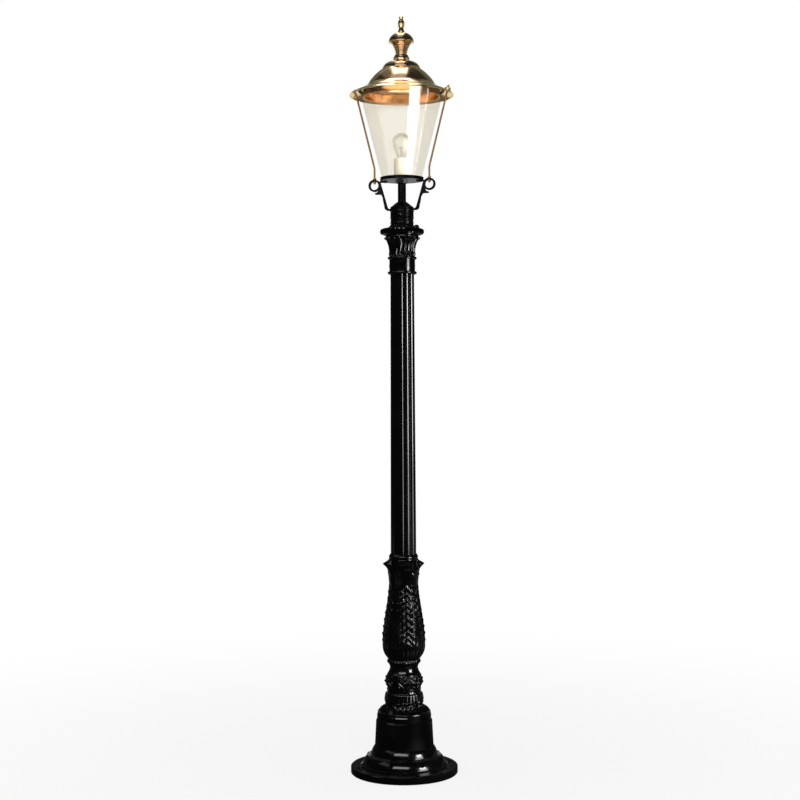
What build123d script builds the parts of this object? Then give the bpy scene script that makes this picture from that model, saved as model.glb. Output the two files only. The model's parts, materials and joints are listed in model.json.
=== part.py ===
from build123d import *
import os
from math import atan2, cos, degrees, hypot, pi, sin, sqrt

# A cast lamp post with a round glass lantern, in millimetres, standing on z = 0 with its axis on Z.
# The two bracket arms of the lantern lie along X.

# Fits
slip = 0.1                  # radial room of a piece that fits over another
loose = 0.5                 # radial room of a clearance hole
seat_room = 0.3             # room over a spigot

# Flange plate
flange_r = 170.0
flange_h = 22.0
flange_edge = 2.0
cable_hole_r = 62.0
root_ring_r = 100.0
root_ring_wall = 10.0
root_ring_h = 28.0
anchor_count = 4
anchor_pcd = 304.0
anchor_hole_r = 7.0
anchor_turn = 30.0

# Bell-shaped base
bell_h = 182.0
bell_wall = 9.0
bell_top_t = 14.0
bell_foot_r = 138.5
foot_edge_h = 4.0
ledge_h = 5.0
low_roll_h = 25.0
low_roll_low_r = 131.5
low_roll_high_r = 116.5
low_roll_bulge = 2.4
high_roll_h = 23.0
high_roll_low_r = 105.5
high_roll_high_r = 95.5
high_roll_bulge = 1.5
roll_step = 2.0
drum_low_r = 93.5
drum_high_r = 89.5
drum_lip = 5.0
bell_collar_r = 86.2
bell_collar_h = 14.0
bell_shoulder_r = 73.0
bell_shoulder_h = 19.0
bell_shoulder_bulge = 0.8
bell_spigot_r = 50.0
spigot_h = 8.0

# Screws round the base
base_screw_count = 8
base_screw_turn = -50.0
base_screw_rise = 25.0      # above the flange
base_screw_seat_r = 121.0
base_screw_r = 4.0
base_screw_l = 30.0
base_screw_head_r = 7.0
base_screw_head_h = 4.5

# Tie tube that pulls the castings together
tie_r = 13.45
tie_wall = 2.6
tie_tail = 8.0              # thread that stands out of each nut
tie_nut_flats = 41.0
tie_nut_h = 16.0
tie_plate_r = 55.0
tie_plate_t = 10.0
tie_washer_r = 26.0
tie_washer_t = 3.0

# Terminal strap in the base
strap_foot_l = 20.0
strap_foot_room = 3.0       # from the foot to the wall of the root ring
strap_rise = 58.0
strap_t = 3.0
strap_w = 40.0
strap_screw_r = 2.5
strap_screw_l = 14.0
strap_screw_head_r = 4.75
strap_screw_head_h = 2.75
block_l = 60.0
block_w = 30.0
block_h = 22.0
block_way_r = 4.0
block_ways = 3
lead_r = 3.5

# Pedestal
pedestal_h = 161.0
post_bore_r = 36.0
ped_foot_r = 71.5
ped_foot_h = 19.0
ped_foot_bulge = -3.0
ped_drum_low_r = 57.6
ped_drum_high_r = 56.4
ped_drum_h = 28.0
ped_neck_r = 53.7
ped_neck_drop = 21.0
leaf_ring_r = 60.4
leaf_ring_rise = 19.0
leaf_ring_fall = 23.0
leaf_ring_top_r = 53.4
ped_waist_r = 44.7
ped_waist_h = 20.0
ped_waist_bulge = -1.6
ped_torus_r = 51.0
ped_torus_rise = 15.0
ped_torus_h = 10.0
ped_torus_bulge = 2.2
ped_top_r = 51.5
ped_spigot_r = 42.0
reed_count = 28
reed_r = 5.7
reed_out = 3.0              # beyond the drum
reed_rise = 8.0             # above the foot of the pedestal
reed_h = 38.0

# Baluster
baluster_h = 330.0
bal_cup_r = 53.0
bal_cup_h = 39.0
bal_cup_bulge = 3.6
bal_belly_r = 67.8
bal_belly_h = 32.0
bal_taper_h = 100.0
bal_taper_r = 53.6
bal_taper_bulge = 0.5
bal_waist_r = 46.5
bal_waist_h = 64.0
bal_waist_bulge = -1.0
bal_flare_r = 51.6
bal_flare_h = 46.0
bal_flare_bulge = -0.6
bal_tip_r = 66.0
bal_tip_rise = 18.0
bal_tip_fall = 14.0
bal_tip_corner = 14.0
bal_tip_turn = -24.0
bal_ring_r = 46.3
bal_ring_h = 10.0
bal_top_r = 42.5

# Fluted shaft
shaft_h = 888.0
shaft_low_r = 40.7
shaft_high_r = 37.6
flute_count = 18
flute_depth = 1.3
flute_share = 0.72          # of the pitch, the rest is land
shaft_bore_r = 28.0
shaft_spigot_r = 33.0
shaft_spigot_low = 20.0
shaft_spigot_high = 45.0

# Capital
cap_ring_r = 46.4
cap_ring_h = 9.0
cap_band_r = 40.9
cap_band_h = 38.0
cap_neck_r = 39.8
cap_neck_h = 10.0
cap_bell_r = 53.6
cap_bell_h = 50.0
cap_bell_bulge = -4.5
cap_groove_r = 51.5
cap_groove_h = 9.0
cap_torus_r = 67.5
cap_torus_h = 20.0
cap_torus_root_r = 60.0
bead_count = 30
bead_r = 6.2
bead_out = 2.8              # beyond the torus
lip_leaf_count = 18
lip_leaf_r = 4.0
lip_leaf_out = 0.8          # beyond the lip of the bell
cap_well_r = 30.0
cap_well_h = 22.0
cap_web_t = 12.0
cap_screw_count = 3
cap_screw_turn = -75.0
cap_screw_r = 4.0
cap_screw_l = 9.0
cap_screw_head_r = 6.0
cap_screw_head_h = 3.5

# Lantern foot
foot_h = 58.0
foot_skirt_r = 58.6
foot_skirt_h = 13.0
foot_skirt_bulge = -4.0
foot_sleeve_r = 36.2
foot_sleeve_h = 18.0
foot_bead_r = 38.4
foot_bead_h = 5.0
foot_top_r = 37.0
foot_bolt_count = 3
foot_bolt_turn = 15.0
foot_bolt_pitch_r = 46.0
foot_boss_r = 8.5
foot_boss_h = 8.0
foot_bolt_r = 4.0
foot_bolt_l = 22.0
foot_bolt_head_r = 6.5
foot_bolt_head_h = 5.0
foot_screw_turn = -88.0
foot_screw_drop = 15.0      # below the top of the foot
foot_screw_r = 4.0
foot_screw_head_r = 5.5
foot_screw_head_h = 3.0

# Cone cap and stem
cone_skirt_h = 9.0
cone_h = 26.0
cone_top_r = 16.0
stem_r = 13.0
stem_wall = 3.0
stem_reach = 68.0           # from the cone to the bottom plate
stem_nut_flats = 36.0
stem_nut_h = 8.0
stem_lock_h = 6.0
stem_tip = 4.0

# Bracket arms with ring eyes
arm_depth = 10.0
arm_foot_t = 6.0
arm_foot_in = 16.0
arm_elbow_in = 40.0
arm_elbow_out = 45.0
arm_elbow_rise = 13.0
arm_inner_low = 48.0
arm_inner_high = 70.5
arm_outer_low = 56.5
arm_outer_mid = 61.5
arm_outer_mid_rise = 34.0
spur_root_x = 69.5
spur_tip_x = 86.0
spur_t = 5.0
spur_drop = 28.5            # below the middle of the eye
arm_tab_in = 48.0
arm_tab_t = 4.0
arm_top_out = 74.0
eye_x = 89.5
eye_drop = 13.0             # below the bottom plate
eye_outer_r = 19.5
eye_inner_r = 13.4
tab_screw_x = 54.0
tab_screw_r = 2.0
tab_screw_head_r = 3.5
tab_screw_head_h = 2.2
tab_nut_flats = 7.0
tab_nut_h = 3.0

# Gallery and glass
plate_r = 65.5
plate_t = 3.0
gallery_wall = 3.4
gallery_h = 10.0
gasket_t = 2.0
gasket_w = 5.0
glass_low_r = 63.4
glass_high_r = 134.4
glass_h = 278.0
glass_t = 3.0

# Tie rods of the hood
rod_r = 3.0
rod_bend_rise = 42.0        # above the bottom plate
rod_bend_radius = 30.0
rod_brim_r = 150.0
rod_tail = 9.0              # inside the eye
rod_nut_flats = 10.0
rod_nut_h = 4.0
rod_tip = 2.0
wing_base_r = 6.5
wing_base_h = 2.0
wing_hub_r = 5.0
wing_hub_h = 5.5
wing_span = 9.5
wing_rise = 8.5
wing_root = 4.0
wing_tip_w = 4.5
wing_scoop = 1.0            # hollow of the wing's edges
wing_t = 2.2
rod_seat_r = 10.0
rod_seat_h = 4.0            # along the rod, from the height of the glass rim
rod_slot_room = 0.8
rod_slot_in = 1.0
rod_slot_out = 5.0

# Lamp holder and bulb
holder_r = 25.0
holder_h = 62.0
holder_crown = 4.0
holder_floor_t = 17.0
holder_bore_r = 15.0
shell_wall = 1.2
shell_h = 37.0
shell_lift = 2.0
contact_r = 5.0
contact_h = 15.0
bulb_cap_r = 13.2
bulb_cap_h = 25.0
bulb_pip_r = 4.5
bulb_pip_h = 4.0
bulb_r = 30.0
bulb_neck_r = 15.4
bulb_neck_h = 7.0
bulb_centre_rise = 51.0     # above the rim of its cap
bulb_side_bulge = 1.5
bulb_t = 1.0
bulb_stem_r = 5.0
bulb_stem_h = 34.0
filament_r = 9.0
filament_wire_r = 0.6

# Hood
hood_sheet = 1.8            # measured upright
brim_r = 165.6
brim_drop = 12.0
brim_knee_r = 143.0
brim_knee_rise = 0.5
brim_bulge = 0.8
brim_bead_r = 2.2
hood_waist_r = 108.0
hood_waist_rise = 21.0
hood_waist_bulge = -2.2
dome_top_r = 61.0
dome_rise = 70.0
dome_bulge = 4.0
crown_r = 50.0
crown_rise = 73.0
vent_r = 34.0
collar_r = 122.0
collar_wall = 1.2
collar_drop = 19.5
collar_bead_r = 1.6
hood_gasket_in = 128.0
hood_gasket_out = 136.5
step_low_r = 61.2
step_edge_r = 57.5
step_edge_h = 9.0
step_top_r = 28.0
step_h = 23.0
step_bulge = 4.5
ring_r = 26.3
ring_top_r = 21.0
ring_h = 21.5
ring_belt_h = 17.0
ring_bulge = 3.4
ring_bore_r = 15.0
neck_low_r = 18.9
neck_high_r = 39.0
neck_h = 41.0
neck_bulge = -5.0
cap_rim_r = 40.3
cap_top_r = 14.0
mushroom_h = 29.0
mushroom_bulge = 6.0
hood_rod_r = 4.0
hood_rod_tail = 6.0
bridge_l = 92.0
bridge_w = 14.0
bridge_t = 3.0
hood_nut_flats = 13.0
hood_nut_h = 6.5
finial_h = 54.0
finial_foot_r = 14.0
finial_foot_h = 17.0
finial_foot_bulge = -1.4
finial_neck_r = 7.1
finial_knob_r = 10.9
finial_knob_h = 24.0
finial_tip_neck_r = 6.7
finial_tip_r = 8.1
finial_tip_bulge = -1.0
finial_crown_h = 4.0
finial_socket_h = 20.0

# Heights of the stack, each on the one below
z_flange = flange_h
z_bell = z_flange + bell_h
z_pedestal = z_bell + pedestal_h
z_baluster = z_pedestal + baluster_h
z_shaft = z_baluster + shaft_h
z_lip = z_shaft + 2 * cap_ring_h + cap_band_h + cap_neck_h + cap_bell_h
z_torus = z_lip + cap_groove_h
z_capital = z_torus + cap_torus_h
z_foot = z_capital + foot_h
z_cone = z_foot + cone_h
z_plate = z_cone + stem_reach
z_deck = z_plate + plate_t
z_glass = z_deck + gasket_t
z_hood = z_glass + glass_h
z_web = z_capital - cap_well_h
z_holder = z_deck + stem_lock_h
z_cup = z_holder + holder_floor_t
z_pip = z_cup + contact_h
z_bulb = z_pip + bulb_pip_h
z_eye = z_plate - eye_drop
z_crown = z_hood + crown_rise
z_step = z_hood + dome_rise
z_ring = z_step + step_h
z_neck = z_ring + ring_h
z_rim = z_neck + neck_h
z_finial = z_rim + mushroom_h

# Feet of the terminal strap, inside the root ring
strap_foot_out = root_ring_r - root_ring_wall - strap_foot_room
strap_foot_in = strap_foot_out - strap_foot_l
strap_mid = (strap_foot_in + strap_foot_out) / 2

# Direction of the sloping part of a tie rod, in the plane of the arms
z_bend = z_plate + rod_bend_rise
rod_lean = degrees(atan2(rod_brim_r - eye_x, z_hood - z_bend))


# Edges through (x, z) corners; a third number bulges the side that ends there, to the right of travel
def trace(corners):
    edges = []
    for before, after in zip(corners, corners[1:]):
        if len(after) == 3:
            edges.append(SagittaArc(before[:2], after[:2], -after[2]))
        else:
            edges.append(Line(before[:2], after))
    return edges


# Flat face in the plane of the arms
def side_face(*corners):
    return Plane.XZ * make_face(trace(corners + (corners[0][:2],)))


# Solid of revolution about the axis of the post
def turned(*corners):
    return revolve(side_face(*corners), Axis.Z)


# Spun sheet whose outer line is given and whose thickness is measured upright
def spun(sheet, *corners):
    upper = trace(corners)
    lower = [edge.moved(Location((0, -sheet, 0))) for edge in upper]
    ends = [Line(end[:2], (end[0], end[1] - sheet)) for end in (corners[0], corners[-1])]
    return revolve(Plane.XZ * make_face(upper + lower + ends), Axis.Z)


def tube(outer, inner, low, high):
    return turned((inner, low), (outer, low), (outer, high), (inner, high))


# Bulge of the arc that domes a disc of this radius to this height
def dome_bulge_of(radius, height):
    ball = (radius ** 2 + height ** 2) / (2 * height)
    half = hypot(radius, height) / 2
    return ball - sqrt(ball ** 2 - half ** 2)


def hex_nut(flats, bore, low, high):
    section = RegularPolygon(flats / 2, 6, major_radius=False) - Circle(bore)
    return extrude(Pos(0, 0, low) * section, high - low)


# Round-headed screw, its head's seat at the origin and its shank down
def button_screw(shank_r, shank_l, head_r, head_h):
    dome = dome_bulge_of(head_r, head_h)
    return turned((0, -shank_l), (shank_r, -shank_l), (shank_r, 0), (head_r, 0), (0, head_h, dome))


# Round bar along +Z from the origin
def bar(radius, length):
    return Cylinder(radius, length, align=(Align.CENTER, Align.CENTER, Align.MIN))


# Places on the post's side, with local +Z pointing outward
def outward(count, turn, radius, height):
    places = []
    for i in range(count):
        places.append(Rot(0, 0, turn + i * 360 / count) * Pos(radius, 0, height) * Rot(0, 90, 0))
    return places


def around(count, turn, radius, height):
    return [Rot(0, 0, turn + i * 360 / count) * Pos(radius, 0, height) for i in range(count)]


# Copies of one solid, kept apart
def group(places, solid):
    return Compound(children=[place * solid for place in places])


# Both sides of the lantern, the second one turned by half a turn
both_sides = around(2, 0, 0, 0)


def base_screw_places():
    return outward(base_screw_count, base_screw_turn, base_screw_seat_r, z_flange + base_screw_rise)


def flange_plate():
    plate = turned(
        (cable_hole_r, 0),
        (flange_r - flange_edge, 0),
        (flange_r, flange_edge),
        (flange_r, flange_h - flange_edge),
        (flange_r - flange_edge, flange_h),
        (root_ring_r, flange_h),
        (root_ring_r, flange_h + root_ring_h),
        (root_ring_r - root_ring_wall, flange_h + root_ring_h),
        (root_ring_r - root_ring_wall, flange_h),
        (cable_hole_r, flange_h),
    )
    anchors = around(anchor_count, anchor_turn, anchor_pcd / 2, 0)
    plate -= [place * bar(anchor_hole_r, flange_h) for place in anchors]
    reach = base_screw_seat_r - root_ring_r + 2 * root_ring_wall
    plate -= [place * Pos(0, 0, -reach) * bar(base_screw_r + slip, reach) for place in base_screw_places()]
    strap_hole = bar(strap_screw_r + slip, strap_screw_l)
    strap_low = z_flange + strap_t - strap_screw_l
    return plate - [place * strap_hole for place in around(2, 0, strap_mid, strap_low)]


def base_bell():
    z_edge = z_flange + foot_edge_h
    z_low_roll = z_edge + ledge_h
    z_ledge = z_low_roll + low_roll_h
    z_high_roll = z_ledge + ledge_h
    z_drum = z_high_roll + high_roll_h + roll_step
    z_shoulder = z_bell - bell_shoulder_h
    z_collar = z_shoulder - bell_collar_h
    outer = (
        (bell_foot_r, z_flange),
        (bell_foot_r, z_edge),
        (low_roll_low_r, z_low_roll),
        (low_roll_high_r, z_ledge, low_roll_bulge),
        (high_roll_low_r, z_high_roll),
        (high_roll_high_r, z_drum - roll_step, high_roll_bulge),
        (drum_low_r, z_drum),
        (drum_high_r, z_collar - drum_lip),
        (bell_collar_r, z_collar),
        (bell_collar_r, z_shoulder),
        (bell_shoulder_r, z_bell, bell_shoulder_bulge),
    )
    spigot = (
        (bell_spigot_r, z_bell),
        (bell_spigot_r, z_bell + spigot_h),
        (post_bore_r, z_bell + spigot_h),
        (post_bore_r, z_bell - bell_top_t),
    )
    inner = (
        (bell_shoulder_r - bell_wall, z_bell - bell_top_t),
        (bell_collar_r - bell_wall, z_collar),
        (drum_low_r - bell_wall, z_drum),
        (root_ring_r + slip, z_flange + root_ring_h + roll_step),
        (root_ring_r + slip, z_flange),
    )
    bell = turned(*outer, *spigot, *inner)
    head_room = bar(base_screw_head_r + loose, base_screw_seat_r)
    shank_room = Pos(0, 0, root_ring_r - base_screw_seat_r) * bar(base_screw_r + loose, base_screw_seat_r)
    return bell - [place * (head_room + shank_room) for place in base_screw_places()]


def base_screws():
    screw = button_screw(base_screw_r, base_screw_l, base_screw_head_r, base_screw_head_h)
    return group(base_screw_places(), screw)


def terminal_strap():
    top = z_flange + strap_rise
    edge = strap_foot_in - strap_t
    profile = side_face(
        (strap_foot_out, z_flange),
        (strap_foot_out, z_flange + strap_t),
        (strap_foot_in, z_flange + strap_t),
        (strap_foot_in, top),
        (-strap_foot_in, top),
        (-strap_foot_in, z_flange + strap_t),
        (-strap_foot_out, z_flange + strap_t),
        (-strap_foot_out, z_flange),
        (-edge, z_flange),
        (-edge, top - strap_t),
        (edge, top - strap_t),
        (edge, z_flange),
    )
    strap = extrude(profile, strap_w / 2, both=True)
    return strap - [place * bar(strap_screw_r + slip, strap_t) for place in around(2, 0, strap_mid, z_flange)]


def strap_screws():
    screw = button_screw(strap_screw_r, strap_screw_l, strap_screw_head_r, strap_screw_head_h)
    return group(around(2, 0, strap_mid, z_flange + strap_t), screw)


def terminal_block():
    low = z_flange + strap_rise
    block = extrude(Pos(0, 0, low) * Rectangle(block_l, block_w), block_h)
    way = Rot(90, 0, 0) * Cylinder(block_way_r, block_w)
    pitch = block_l / block_ways
    for i in range(block_ways):
        block -= Pos((i - (block_ways - 1) / 2) * pitch, 0, low + block_h / 2) * way
    return block


def inner_lead():
    return tube(lead_r, 0, z_flange + strap_rise + block_h, z_cup)


def tie_plate():
    high = z_bell - bell_top_t
    return tube(tie_plate_r, tie_r + loose, high - tie_plate_t, high)


def tie_nuts():
    low = z_bell - bell_top_t - tie_plate_t
    high = z_web + tie_washer_t
    nuts = [
        hex_nut(tie_nut_flats, tie_r + slip, low - tie_nut_h, low),
        hex_nut(tie_nut_flats, tie_r + slip, high, high + tie_nut_h),
    ]
    return Compound(children=nuts)


def tie_washer():
    return tube(tie_washer_r, tie_r + loose, z_web, z_web + tie_washer_t)


def tie_tube():
    low = z_bell - bell_top_t - tie_plate_t - tie_nut_h - tie_tail
    return tube(tie_r, tie_r - tie_wall, low, z_web + tie_washer_t + tie_nut_h + tie_tail)


def pedestal():
    z_foot_top = z_bell + ped_foot_h
    z_drum_top = z_foot_top + ped_drum_h
    z_neck_low = z_drum_top + ped_neck_drop
    z_leaf = z_neck_low + leaf_ring_rise
    z_leaf_top = z_leaf + leaf_ring_fall
    z_waist = z_leaf_top + ped_waist_h
    z_rope = z_waist + ped_torus_rise
    body = turned(
        (bell_spigot_r + slip, z_bell),
        (ped_foot_r, z_bell),
        (ped_drum_low_r, z_foot_top, ped_foot_bulge),
        (ped_drum_high_r, z_drum_top),
        (ped_neck_r, z_neck_low),
        (leaf_ring_r, z_leaf),
        (leaf_ring_top_r, z_leaf_top),
        (ped_waist_r, z_waist, ped_waist_bulge),
        (ped_torus_r, z_rope, ped_waist_bulge),
        (ped_torus_r, z_rope + ped_torus_h, ped_torus_bulge),
        (ped_top_r, z_pedestal),
        (ped_spigot_r, z_pedestal),
        (ped_spigot_r, z_pedestal + spigot_h),
        (post_bore_r, z_pedestal + spigot_h),
        (post_bore_r, z_bell + spigot_h + seat_room),
        (bell_spigot_r + slip, z_bell + spigot_h + seat_room),
    )
    reed = bar(reed_r, reed_h) + Pos(0, 0, reed_h) * Sphere(reed_r)
    reed_ring = ped_drum_low_r + reed_out - reed_r
    return body + [place * reed for place in around(reed_count, 0, reed_ring, z_bell + reed_rise)]


def baluster():
    z_cup_top = z_pedestal + bal_cup_h
    z_belly = z_cup_top + bal_belly_h
    z_taper = z_belly + bal_taper_h
    z_waist = z_taper + bal_waist_h
    z_flare = z_waist + bal_flare_h
    z_tip = z_flare + bal_tip_rise
    z_tip_top = z_tip + bal_tip_fall
    z_spigot = z_baluster - shaft_spigot_low - seat_room
    body = turned(
        (ped_spigot_r + slip, z_pedestal),
        (bal_cup_r, z_pedestal),
        (bal_belly_r, z_cup_top, bal_cup_bulge),
        (bal_belly_r, z_belly),
        (bal_taper_r, z_taper, bal_taper_bulge),
        (bal_waist_r, z_waist, bal_waist_bulge),
        (bal_flare_r, z_flare, bal_flare_bulge),
        (bal_tip_r, z_tip),
        (bal_ring_r, z_tip_top),
        (bal_ring_r, z_tip_top + bal_ring_h),
        (bal_top_r, z_baluster),
        (shaft_spigot_r + slip, z_baluster),
        (shaft_spigot_r + slip, z_spigot),
        (post_bore_r, z_spigot),
        (post_bore_r, z_pedestal + spigot_h + seat_room),
        (ped_spigot_r + slip, z_pedestal + spigot_h + seat_room),
    )
    tip_w = 2 * bal_waist_r * sin(pi / 4)
    between = Circle(bal_tip_r + loose)
    for turn in (bal_tip_turn, bal_tip_turn + 90):
        between -= Rot(0, 0, turn) * RectangleRounded(2 * bal_tip_r, tip_w, bal_tip_corner)
    return body - extrude(Pos(0, 0, z_waist) * between, z_tip_top - z_waist)


# Section of the shaft: plain lands with hollow flutes between them
def fluted_face(radius, height):
    pitch = 2 * pi / flute_count
    half_land = pitch * (1 - flute_share) / 2
    edges = []
    for i in range(flute_count):
        middle = i * pitch
        next_land = middle + pitch - half_land
        stops = (middle - half_land, middle, middle + half_land, middle + pitch / 2, next_land)
        depths = (0, 0, 0, flute_depth, 0)
        points = [((radius - d) * cos(a), (radius - d) * sin(a)) for a, d in zip(stops, depths)]
        edges.append(ThreePointArc(*points[0:3]))
        edges.append(ThreePointArc(*points[2:5]))
    return Pos(0, 0, height) * make_face(edges)


def shaft():
    column = loft([fluted_face(shaft_low_r, z_baluster), fluted_face(shaft_high_r, z_shaft)], ruled=True)
    column += tube(shaft_spigot_r, shaft_bore_r, z_baluster - shaft_spigot_low, z_shaft + shaft_spigot_high)
    column -= tube(shaft_bore_r, 0, z_baluster, z_shaft)
    screw_hole = Pos(0, 0, -shaft_spigot_r) * bar(cap_screw_r + slip, shaft_spigot_r)
    return column - [place * screw_hole for place in capital_screw_places()]


def capital_screw_places():
    height = z_shaft + cap_ring_h + cap_band_h / 2
    return outward(cap_screw_count, cap_screw_turn, cap_band_r, height)


def capital():
    z_band = z_shaft + cap_ring_h
    z_ring_high = z_band + cap_band_h
    z_neck_low = z_ring_high + cap_ring_h
    z_bell_low = z_neck_low + cap_neck_h
    ring_bulge_out = dome_bulge_of(cap_ring_h / 2, cap_ring_r - cap_band_r)
    body = turned(
        (shaft_spigot_r + slip, z_shaft),
        (cap_band_r, z_shaft),
        (cap_ring_r, z_shaft + cap_ring_h / 2, ring_bulge_out),
        (cap_band_r, z_band, ring_bulge_out),
        (cap_band_r, z_ring_high),
        (cap_ring_r, z_ring_high + cap_ring_h / 2, ring_bulge_out),
        (cap_neck_r, z_neck_low, ring_bulge_out),
        (cap_neck_r, z_bell_low),
        (cap_bell_r, z_lip, cap_bell_bulge),
        (cap_groove_r, z_torus),
        (cap_torus_root_r, z_torus),
        (cap_torus_root_r, z_capital, cap_torus_r - cap_torus_root_r),
        (cap_well_r, z_capital),
        (cap_well_r, z_web),
        (tie_r + loose, z_web),
        (tie_r + loose, z_web - cap_web_t),
        (shaft_bore_r, z_web - cap_web_t),
        (shaft_bore_r, z_shaft + shaft_spigot_high + seat_room),
        (shaft_spigot_r + slip, z_shaft + shaft_spigot_high + seat_room),
    )
    bead_ring = cap_torus_r + bead_out - bead_r
    leaf_ring = cap_bell_r + lip_leaf_out - lip_leaf_r
    beads = around(bead_count, 0, bead_ring, z_torus + cap_torus_h / 2)
    leaves = around(lip_leaf_count, 0, leaf_ring, z_lip - lip_leaf_r / 2)
    body += [place * Sphere(bead_r) for place in beads]
    body += [place * Sphere(lip_leaf_r) for place in leaves]
    screw_hole = Pos(0, 0, -cap_band_r + shaft_bore_r) * bar(cap_screw_r + slip, cap_band_r)
    body -= [place * screw_hole for place in capital_screw_places()]
    bolt_hole = bar(foot_bolt_r + slip, foot_bolt_l)
    bolt_low = z_capital + foot_boss_h - foot_bolt_l
    bolts = around(foot_bolt_count, foot_bolt_turn, foot_bolt_pitch_r, bolt_low)
    return body - [place * bolt_hole for place in bolts]


def capital_screws():
    screw = button_screw(cap_screw_r, cap_screw_l, cap_screw_head_r, cap_screw_head_h)
    return group(capital_screw_places(), screw)


def foot_screw_place():
    return outward(1, foot_screw_turn, foot_top_r, z_foot - foot_screw_drop)[0]


def lantern_foot():
    z_skirt = z_capital + foot_skirt_h
    z_bead = z_skirt + foot_sleeve_h
    z_top = z_bead + foot_bead_h
    body = turned(
        (cap_well_r, z_capital),
        (foot_skirt_r, z_capital),
        (foot_sleeve_r, z_skirt, foot_skirt_bulge),
        (foot_sleeve_r, z_bead),
        (foot_bead_r, z_bead + foot_bead_h / 2),
        (foot_top_r, z_top),
        (foot_top_r, z_foot),
        (stem_r + slip, z_foot),
        (stem_r + slip, z_bead),
        (cap_well_r, z_bead),
    )
    bolts = around(foot_bolt_count, foot_bolt_turn, foot_bolt_pitch_r, z_capital)
    body += [place * bar(foot_boss_r, foot_boss_h) for place in bolts]
    body -= tube(cap_well_r, 0, z_capital, z_bead)
    body -= [place * bar(foot_bolt_r + slip, foot_boss_h) for place in bolts]
    reach = foot_top_r - stem_r
    return body - foot_screw_place() * Pos(0, 0, -reach) * bar(foot_screw_r + slip, reach)


def foot_bolts():
    bolt = button_screw(foot_bolt_r, foot_bolt_l, foot_bolt_head_r, foot_bolt_head_h)
    return group(around(foot_bolt_count, foot_bolt_turn, foot_bolt_pitch_r, z_capital + foot_boss_h), bolt)


def foot_screw():
    length = foot_top_r - stem_r - slip
    return foot_screw_place() * button_screw(foot_screw_r, length, foot_screw_head_r, foot_screw_head_h)


def cone_cap():
    cone = turned(
        (stem_r + slip, z_foot),
        (foot_top_r, z_foot),
        (foot_top_r, z_foot + cone_skirt_h),
        (cone_top_r, z_cone),
        (stem_r + slip, z_cone),
    )
    notch = side_face(
        (arm_foot_in, z_foot),
        (foot_top_r + loose, z_foot),
        (foot_top_r + loose, z_foot + arm_foot_t),
        (arm_foot_in, z_foot + arm_foot_t),
    )
    return cone - [place * extrude(notch, arm_depth / 2 + slip, both=True) for place in both_sides]


def stem_tube():
    return tube(stem_r, stem_r - stem_wall, z_capital + foot_skirt_h + foot_sleeve_h, z_holder + stem_tip)


def stem_nuts():
    nuts = [
        hex_nut(stem_nut_flats, stem_r + slip, z_plate - stem_nut_h, z_plate),
        hex_nut(stem_nut_flats, stem_r + slip, z_deck, z_deck + stem_lock_h),
    ]
    return Compound(children=nuts)


# Arm on the +X side: a flat foot, a bent bar with a spur and a ring eye, and a tab under the bottom plate
def bracket_arm():
    eye_mid_r = (eye_outer_r + eye_inner_r) / 2
    notch = eye_outer_r * sin(pi / 4)
    elbow_bulge = dome_bulge_of(arm_outer_low - arm_elbow_out, arm_elbow_rise)
    z_spur = z_eye - spur_drop
    web = side_face(
        (arm_foot_in, z_foot),
        (arm_elbow_out, z_foot),
        (arm_outer_low, z_foot + arm_elbow_rise, elbow_bulge),
        (arm_outer_mid, z_foot + arm_outer_mid_rise),
        (spur_root_x, z_spur, -spur_t / 2),
        (spur_tip_x, z_spur),
        (spur_tip_x, z_spur + spur_t, spur_t / 3),
        (eye_x - notch, z_eye - notch, -spur_t / 2),
        (eye_x - eye_mid_r, z_eye),
        (arm_top_out, z_plate),
        (arm_tab_in, z_plate),
        (arm_tab_in, z_plate - arm_tab_t),
        (arm_inner_high, z_plate - arm_tab_t),
        (arm_inner_low, z_foot + arm_elbow_rise),
        (arm_elbow_in, z_foot + arm_foot_t, -arm_foot_t / 3),
        (arm_foot_in, z_foot + arm_foot_t),
    )
    eye = Plane.XZ * Pos(eye_x, z_eye) * Circle(eye_outer_r)
    hole = Plane.XZ * Pos(eye_x, z_eye) * Circle(eye_inner_r)
    arm = extrude(web, arm_depth / 2, both=True) + extrude(eye, arm_depth / 2, both=True)
    arm -= extrude(hole, arm_depth, both=True)
    arm -= Pos(eye_x, 0, z_eye) * bar(rod_r + slip, eye_outer_r)
    return arm - Pos(tab_screw_x, 0, z_plate - arm_tab_t) * bar(tab_screw_r + slip, arm_tab_t)


def bottom_plate():
    plate = tube(plate_r, stem_r + slip, z_plate, z_deck)
    return plate - [place * bar(tab_screw_r + slip, plate_t) for place in around(2, 0, tab_screw_x, z_plate)]


def gallery_ring():
    return tube(plate_r + gallery_wall, plate_r, z_plate, z_plate + gallery_h)


def tab_screws():
    length = arm_tab_t + plate_t + tab_nut_h
    screw = Rot(180, 0, 0) * button_screw(tab_screw_r, length, tab_screw_head_r, tab_screw_head_h)
    return group(around(2, 0, tab_screw_x, z_plate - arm_tab_t), screw)


def tab_nuts():
    nut = hex_nut(tab_nut_flats, tab_screw_r + slip, z_deck, z_deck + tab_nut_h)
    return group(around(2, 0, tab_screw_x, 0), nut)


def glass_gasket():
    outer = glass_low_r + (gasket_w - glass_t) / 2
    return tube(outer, outer - gasket_w, z_deck, z_glass)


def glass_cone():
    return turned(
        (glass_low_r - glass_t, z_glass),
        (glass_low_r, z_glass),
        (glass_high_r, z_hood),
        (glass_high_r - glass_t, z_hood),
    )


# Local frame on the sloping part of the +X rod, its origin at the height of the glass rim
def rod_frame():
    return Pos(rod_brim_r, 0, z_hood) * Rot(0, rod_lean, 0)


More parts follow.
